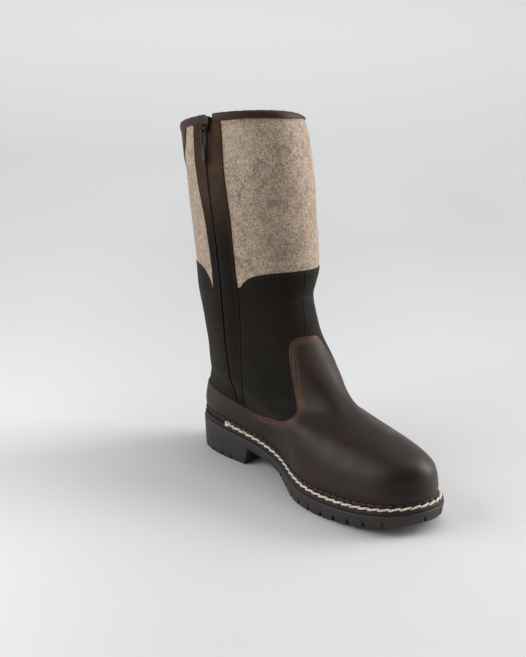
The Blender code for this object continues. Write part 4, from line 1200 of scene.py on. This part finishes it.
# darker stitches of the same row round the heel
BEAD_PITCH = 9.6
path, at = welt_line(ROPE_AT, 0.3, FULL - turn_of(KNOT_X), FULL + turn_of(KNOT_X), BEAD_PITCH * 0.62)
run, side, over = frames_along(path, np.tile((0, 0, 1.0), (len(path), 1)))
parts = []
body, faces = seed(6.6)
for k in range(len(path)):
    lean = side[k] * 0.16 + run[k]
    parts.append((path[k] + body[:, :1] * lean + body[:, 1:2] * side[k] * 1.1 + body[:, 2:] * over[k] * 0.9, faces))
points, faces, at_point, at_face = join(parts)
piece(quads_and_caps("heel_stitch", points, faces, dark_thread), "welt_leather")

# beads of the second row, on the turned-out foot of the upper
line = np.c_[foot + outward * (flange_out - 0.75)[:, None], welt_top(foot[:, 0]) + FLANGE_TALL - 0.55]
line = np.concatenate([line, line[:1]])
length = np.r_[0, np.cumsum(np.linalg.norm(np.diff(line, axis=0), axis=1))]
count = int(length[-1] / (BEAD_PITCH * 0.8))
at = np.linspace(0, length[-1], count, endpoint=False)
path = np.stack([np.interp(at, length, line[:, k]) for k in range(3)], -1)
run = unit(np.roll(path, -1, 0) - np.roll(path, 1, 0))
over = np.tile((0, 0, 1.0), (count, 1))
side = unit(np.cross(run, over))
parts = []
body, faces = seed(6.6)
for k in range(count):
    lean = run[k] + side[k] * 0.12 - over[k] * 0.10
    parts.append((path[k] + body[:, :1] * lean + body[:, 1:2] * side[k] * 1.45 + body[:, 2:] * over[k] * 1.5, faces))
points, faces, at_point, at_face = join(parts)
piece(quads_and_caps("bead_stitch", points, faces, bead_thread), "welt_leather")

# insole: soft top with a rolled edge
edge = offset_loop(foot, WALL + 1.6)
levels = []
for inward, up in ((0.4, 0.0), (0.0, 0.5), (0.0, INSOLE_THICK - 1.2), (0.35, INSOLE_THICK - 0.4), (1.1, INSOLE_THICK), (4.0, INSOLE_THICK - 0.1)):
    p = offset_loop(edge, inward)
    levels.append(np.c_[p, rubber_top(p[:, 0]) + GAP + up])
for k in (0.8, 0.55, 0.3, 0.1, 0.0):
    p = levels[5].copy()
    p[:, 1] = p[:, 1] * k + (1 - k) * 1.0
    p[:, 2] = rubber_top(p[:, 0]) + GAP + INSOLE_THICK - 0.1 - 0.9 * (1 - k) ** 2
    levels.append(p)
insole_grid = np.array(levels).transpose(1, 0, 2)
top_faces = grid_faces(len(ring), len(levels), True)
bottom = levels[0].copy()
base = insole_grid.reshape(-1, 3)
under = [bottom * (1, k, 1) for k in (0.5, 0.0)]
points = np.concatenate([base] + under)
size, m = len(base), len(levels)
i = np.arange(len(ring))
j = (i + 1) % len(ring)
close = np.concatenate([np.c_[j * m, i * m, size + i, size + j], np.c_[size + j, size + i, size + len(ring) + i, size + len(ring) + j]])
insole = mesh_object("insole_top", points, np.concatenate([top_faces, close]), insole_felt, {"edge": np.full(len(points), 9.0)})


def tidy(obj):
    """Closes doubled points and turns all faces outwards."""
    bm = bmesh.new()
    bm.from_mesh(obj.data)
    bmesh.ops.remove_doubles(bm, verts=bm.verts, dist=1e-6)
    bmesh.ops.dissolve_degenerate(bm, edges=bm.edges, dist=1e-7)
    bmesh.ops.recalc_face_normals(bm, faces=bm.faces)
    bm.to_mesh(obj.data)
    bm.free()


tidy(insole)
piece(insole, "insole_lining", "insole")

# ---------------------------------------------------------------- outsole: lugs with drafted sides, crosses in the channels
CROSSES = ((235.1, 0.1), (216.6, 8.4), (200.8, -2.9), (192.5, 12.4), (173.9, 3.6), (154.4, 9.4), (56.0, 0.0))     # x, y
CROSS_LONG, CROSS_WIDE = 8.6, 3.1
OVAL = 108.1, 6.2, 9.9, 17.1                    # x, y, half sizes of the ring at the waist
DISC = 129.0, -19.9, 4.5
HEEL_GROOVES = ((66.5, 67.0), (52.5, 53.5), (38.0, 45.0), (24.0, 37.5))     # x at the edge and at the channel
HEEL_FAN = (-40.0, -14.0, 14.0, 40.0)
HEEL_FAN_AT, HEEL_FAN_FROM = 42.0, 8.0
HEEL_CHANNEL, HEEL_CHANNEL_END = 9.5, 44.0
LUG_DRAFT = 0.5                                 # half of the run of a lug's side


def edge_point(share, side):
    lateral, medial = half_widths(share)
    return np.array([SOLE_LENGTH * share, lateral if side > 0 else -medial])


def channel_half(share):
    left = np.sqrt(np.clip(1 - np.maximum(0, (share - 0.60) / 0.255) ** 2, 0, 1))
    return 24.0 * left, 15.5 * left


def forefoot_grooves():
    for k in range(LUGS_PER_SIDE):
        for side, first, pitch in ((1, 0.985, 0.0525), (-1, 0.9425, 0.0515)):
            share = first - pitch * k
            inner_share = share - 0.135 * max(0.0, (share - 0.51) / 0.475) ** 1.5
            half = channel_half(min(inner_share, 0.845))[0 if side > 0 else 1]
            yield edge_point(share, side), np.array([SOLE_LENGTH * inner_share, side * max(half, 3.5)]), 0.6
    yield np.array([SOLE_LENGTH, -3.0]), np.array([SOLE_LENGTH * 0.855, -1.0]), 0.6


def heel_grooves():
    for edge_x, channel_x in HEEL_GROOVES:
        for side in (1, -1):
            yield edge_point(edge_x / SOLE_LENGTH, side), np.array([channel_x, side * 8.0]), 0.58
    for angle in HEEL_FAN:
        a = math.radians(angle)
        way = np.array([-math.cos(a), math.sin(a)])
        hub = np.array([HEEL_FAN_AT, 0.0])
        yield hub + way * 42.0, hub + way * HEEL_FAN_FROM, 0.62


def from_groove(p, outer, inner, knot_at):
    """Distance of plane points from a groove's sides, negative inside it."""
    way = inner - outer
    long = np.linalg.norm(way)
    way = way / long
    d = (p - outer) @ way
    off = np.abs((p - outer) @ np.array([-way[1], way[0]]))
    wide = np.interp(d, (-6.0, knot_at * long - 3, knot_at * long, knot_at * long + 3, long + 1.5),
                     (GROOVE_OUT, GROOVE_IN, GROOVE_KNOT, GROOVE_IN, GROOVE_IN))
    return np.maximum(off - wide / 2, d - (long + 1.5))


def from_channel(p):
    share = p[..., 0] / SOLE_LENGTH
    lateral, medial = channel_half(share)
    side = np.where(p[..., 1] > 0, p[..., 1] - lateral, -p[..., 1] - medial)
    return np.maximum(side, np.maximum((TREAD_START / SOLE_LENGTH - 0.08 - share), share - 0.853) * SOLE_LENGTH)


def from_heel_channel(p):
    x, y = p[..., 0], np.abs(p[..., 1])
    body = np.maximum(y - HEEL_CHANNEL, HEEL_CHANNEL_END - x)
    return np.minimum(body, np.hypot(x - HEEL_CHANNEL_END, y) - HEEL_CHANNEL)


def ramp_up(x, low, high):
    t = np.clip((x - low) / (high - low), 0, 1)
    return t * t * (3 - 2 * t)


SOLE_STATIONS, SOLE_ACROSS = 500, 151
fine = np.linspace(0, PI, 6000)
run = np.r_[0, np.cumsum(np.linalg.norm(np.diff(sole_outline(fine), axis=0), axis=1))]
stations = SOLE_LENGTH * (1 - np.cos(np.interp(np.linspace(0.004, 0.996, SOLE_STATIONS) * run[-1], run, fine))) / 2
across = np.linspace(-1, 1, SOLE_ACROSS)
sides = half_widths(stations / SOLE_LENGTH)
rim_y = np.where(across[None] < 0, across[None] * sides[:, 1:2], across[None] * sides[:, :1])
keep = 1 - TREAD_TAPER / np.maximum(sides[:, :1], 8.0)
x = TREAD_TAPER + stations[:, None] * (1 - 2 * TREAD_TAPER / SOLE_LENGTH)
close_to = np.where(stations < HEEL_BREAST + 8, np.exp(-((stations - HEEL_BREAST) / 12.0) ** 2), 0.0)[:, None]
x = x - close_to * BREAST_HOLLOW * (1 - across[None] ** 2)
y = rim_y * keep
waist = rubber_top(x) - RUBBER_THICK
step = ramp_up(stations, HEEL_BREAST - 2.2, HEEL_BREAST + 2.2)[:, None]
step = step + np.clip((stations - HEEL_BREAST + 2.2) / 4.4, 0, 1)[:, None]
z = waist * step / 2
z = z + (tread(x) - z) * ramp_up(stations, TREAD_START - 2.2, TREAD_START + 2.2)[:, None]
plane = np.stack([x, y], -1)
away_front = np.min([from_groove(plane, *g) for g in forefoot_grooves()] + [from_channel(plane)], axis=0)
away_heel = np.min([from_groove(plane, *g) for g in heel_grooves()] + [from_heel_channel(plane)], axis=0)
for low, cut, where in ((away_front, tread(x) + LUG_DEPTH, ramp_up(stations, TREAD_START - 23, TREAD_START)), (away_heel, np.full_like(x, LUG_DEPTH), stations < 100)):
    weight = 1 - ramp_up(low, -LUG_DRAFT, LUG_DRAFT)
    for cx, cy in CROSSES:
        u, v = (x - cx), (y - cy)
        petals = np.minimum(np.hypot(u / CROSS_LONG, v / CROSS_WIDE), np.hypot(u / CROSS_WIDE, v / CROSS_LONG))
        weight = weight * (1 - 0.72 * (1 - ramp_up((petals - 1) * CROSS_WIDE, -LUG_DRAFT, LUG_DRAFT)))
    z = z + where[:, None] * np.maximum(cut - z, 0) * weight
oval = np.hypot((x - OVAL[0]) / OVAL[2], (y - OVAL[1]) / OVAL[3])
line_off = np.minimum(np.abs(oval - 1) * OVAL[2] * np.where(oval > 0.2, np.hypot(1, (OVAL[3] / OVAL[2] - 1) * np.abs(y - OVAL[1]) / OVAL[3]), 1),
                      np.abs(np.hypot(x - DISC[0], y - DISC[1]) - DISC[2]) + 0.25)
z = z + 0.8 * (1 - ramp_up(line_off, 0.35, 1.1))
ends = np.minimum(stations, SOLE_LENGTH - stations)[:, None]
from_rim = np.minimum((1 - np.abs(across))[None] * np.where(across[None] < 0, sides[:, 1:2], sides[:, :1]), ends * 2)
soft = np.clip(1 - from_rim / 1.1, 0, 1)
z = z + 0.9 * (1 - np.sqrt(1 - soft ** 2))
under = np.stack([x, y, z], -1)
# wall from the tread's rim up to the rounded upper edge, as one closed loop of stations
top_z = rubber_top(stations)
loop_at = np.concatenate([np.c_[np.arange(SOLE_STATIONS), np.zeros(SOLE_STATIONS, int)],
                          np.c_[np.full(SOLE_ACROSS - 2, SOLE_STATIONS - 1), np.arange(1, SOLE_ACROSS - 1)],
                          np.c_[np.arange(SOLE_STATIONS)[::-1], np.full(SOLE_STATIONS, SOLE_ACROSS - 1)],
                          np.c_[np.zeros(SOLE_ACROSS - 2, int), np.arange(1, SOLE_ACROSS - 1)[::-1]]])
low_rim = under[loop_at[:, 0], loop_at[:, 1]]
high_rim = np.c_[stations[loop_at[:, 0]], rim_y[loop_at[:, 0], loop_at[:, 1]], top_z[loop_at[:, 0]]]
inward = unit(np.c_[np.roll(high_rim, -1, 0)[:, :2] - np.roll(high_rim, 1, 0)[:, :2], np.zeros(len(high_rim))])
inward = np.c_[-inward[:, 1], inward[:, 0], np.zeros(len(inward))]
if (inward[10] @ (np.array([150.0, 0, 0]) * (1, 0, 0) - high_rim[10] * (1, 1, 0))) < 0:
    inward = -inward
rows = [low_rim]
for share in (0.25, 0.5, 0.75):
    rows.append(low_rim + (high_rim - (0, 0, 1.3) - low_rim) * share)
for into, down in ((0.0, 1.3), (0.12, 0.75), (0.4, 0.3), (0.85, 0.05), (1.6, 0.0)):
    rows.append(high_rim + inward * into - (0, 0, down))
wall = np.array(rows[1:])
size = SOLE_STATIONS * SOLE_ACROSS
count = len(loop_at)
low_index = loop_at[:, 0] * SOLE_ACROSS + loop_at[:, 1]
index = np.concatenate([low_index[None], size + np.arange(wall.shape[0] * count).reshape(wall.shape[0], count)])
faces = [grid_faces(SOLE_STATIONS, SOLE_ACROSS)]
for a, b in zip(index[:-1], index[1:]):
    faces.append(np.c_[a, np.roll(a, -1), np.roll(b, -1), b])
# upper side, closed across from one edge to the other
last = index[-1]
left_edge, right_edge = last[:SOLE_STATIONS], last[SOLE_STATIONS + SOLE_ACROSS - 2:2 * SOLE_STATIONS + SOLE_ACROSS - 2][::-1]
faces.append(np.c_[left_edge[:-1], left_edge[1:], right_edge[1:], right_edge[:-1]])
front_run = last[SOLE_STATIONS:SOLE_STATIONS + SOLE_ACROSS - 2]
back_run = last[2 * SOLE_STATIONS + SOLE_ACROSS - 2:]
sole = mesh_object("sole_unit", np.concatenate([under.reshape(-1, 3), wall.reshape(-1, 3)]), np.concatenate(faces), rubber)
bm = bmesh.new()
bm.from_mesh(sole.data)
bm.verts.ensure_lookup_table()
for edge_run, a, b in ((front_run, left_edge[-1], right_edge[-1]), (back_run[::-1], left_edge[0], right_edge[0])):
    bm.faces.new([bm.verts[k] for k in [a, *edge_run, b]])
bmesh.ops.recalc_face_normals(bm, faces=bm.faces)
for f in bm.faces:
    f.smooth = True
bm.to_mesh(sole.data)
bm.free()
piece(sole, "rubber", "outsole")

# ---------------------------------------------------------------- floor, light, camera
AZIMUTH, ELEVATION, FOCAL = math.radians(54.2), math.radians(15.6), 1310.0
away = np.array([-math.sin(AZIMUTH), math.cos(AZIMUTH)])
aside = np.array([math.cos(AZIMUTH), math.sin(AZIMUTH)])
floor_finish = Finish("floor")
tone = floor_finish.noise(3.0, 2.0, 0.5)
floor_finish.set(Roughness=0.7, Specular_IOR_Level=0.2, Emission_Color=(1.0, 1.0, 1.0, 1))
depth = floor_finish.node("ShaderNodeVectorMath", {"operation": "DOT_PRODUCT"})
floor_finish.tree.links.new(floor_finish.where, depth.inputs[0])
depth.inputs[1].default_value = (away[0], away[1], 0.9)
# painted shade: the floor is darker at middle depth, where the overhead lamp lights it most
depth_painted_shade = floor_finish.ramp(floor_finish.span(depth.outputs["Value"], -0.5, 2.5, 0.0, 1.0), (
    (0.10, srgb(217, 217, 218)), (0.30, srgb(205, 206, 207)), (0.50, srgb(202, 203, 204)), (0.85, srgb(222, 223, 224))))
shade = floor_finish.mix(floor_finish.ramp(tone, ((0.3, 0.05), (0.7, 0.0))), depth_painted_shade, srgb(200, 201, 203))
across = floor_finish.node("ShaderNodeVectorMath", {"operation": "DOT_PRODUCT"})
floor_finish.tree.links.new(floor_finish.where, across.inputs[0])
across.inputs[1].default_value = (aside[0], aside[1], 0.0)
close_by = floor_finish.span(depth.outputs["Value"], 1.0, 2.2, 1.0, 0.0)
# painted light and shade: a lighter patch to the left of the boot and a darker one to the right
for start, stop, share, by_depth, colour in ((-0.35, -0.05, (0.65, 0.0), (1.0, 0.46), srgb(246, 246, 247)),
                                             (0.12, 0.40, (0.0, 0.5), (0.25, 1.0), srgb(186, 187, 188))):
    painted_patch_share = floor_finish.math("MULTIPLY", floor_finish.span(across.outputs["Value"], start, stop, *share), close_by)
    painted_patch_share = floor_finish.math("MULTIPLY", painted_patch_share, floor_finish.span(depth.outputs["Value"], -0.1, 0.6, *by_depth))
    shade = floor_finish.mix(painted_patch_share, shade, colour)
floor_finish.link(shade, "Base Color")
GLOW = 0.3, 3.2, 0.42       # the backdrop's own light, from and to which depth, and how much
floor_finish.link(floor_finish.span(depth.outputs["Value"], GLOW[0], GLOW[1], 0.0, GLOW[2], False), "Emission Strength")
u = np.linspace(-1, 1, 41)
deep = np.concatenate([np.linspace(-12.0, 2.2, 30), 2.2 + 1.4 * np.sin(np.linspace(0.05, PI / 2, 24))])
rise = np.concatenate([np.zeros(30), 1.4 * (1 - np.cos(np.linspace(0.05, PI / 2, 24)))])
deep, rise = np.r_[deep, 3.6], np.r_[rise, 5.0]
grid = (deep[:, None, None] * away + u[None, :, None] * 9.0 * aside)
points = np.concatenate([grid, np.repeat(rise[:, None, None], len(u), 1)], -1)
faces = grid_faces(len(deep), len(u))
floor = mesh_object("floor", (points / MM - SHIFT).reshape(-1, 3), faces, floor_finish.material)


def area(name, at, target, size, power, colour=(1, 1, 1), spread=PI):
    data = bpy.data.lights.new(name, "AREA")
    data.shape = "RECTANGLE"
    data.size, data.size_y = size
    data.energy = power
    data.color = colour
    data.spread = spread
    obj = bpy.data.objects.new(name, data)
    bpy.context.scene.collection.objects.link(obj)
    obj.location = at
    obj.rotation_euler = (Vector(target) - Vector(at)).to_track_quat("-Z", "Y").to_euler()
    return obj


def towards(right, back, up):
    """Place given from the camera's side: right, towards the camera, up, in metres."""
    p = right * aside - back * away
    return (p[0], p[1], up)


area("overhead", towards(0.45, -0.1, 2.0), (0, 0, 0.1), (1.8, 1.5), 15)
area("right", towards(1.65, -0.3, 0.8), (0, 0, 0.14), (1.1, 1.3), 34)
area("left", towards(-1.65, 0.4, 1.0), (-0.05, 0, 0.16), (1.8, 1.6), 27)
world = bpy.data.worlds.new("studio")
world.use_nodes = True
world.node_tree.nodes["Background"].inputs["Color"].default_value = (0.9, 0.9, 0.9, 1)
world.node_tree.nodes["Background"].inputs["Strength"].default_value = 0.13
bpy.context.scene.world = world

back = Vector((math.sin(AZIMUTH) * math.cos(ELEVATION), -math.cos(AZIMUTH) * math.cos(ELEVATION), math.sin(ELEVATION)))
right = Vector((math.cos(AZIMUTH), math.sin(AZIMUTH), 0))
camera_data = bpy.data.cameras.new("camera")
camera_data.lens = FOCAL * 36 / 657
camera_data.sensor_width = 36
camera = bpy.data.objects.new("camera", camera_data)
bpy.context.scene.collection.objects.link(camera)
view = Matrix((right, back.cross(right), back)).transposed().to_4x4()
view.translation = Vector((1.02453 + SHIFT[0] * MM, -0.68954 + SHIFT[1] * MM, 0.45245))
camera.matrix_world = view
bpy.context.scene.camera = camera
bpy.context.scene.view_settings.view_transform = "Standard"
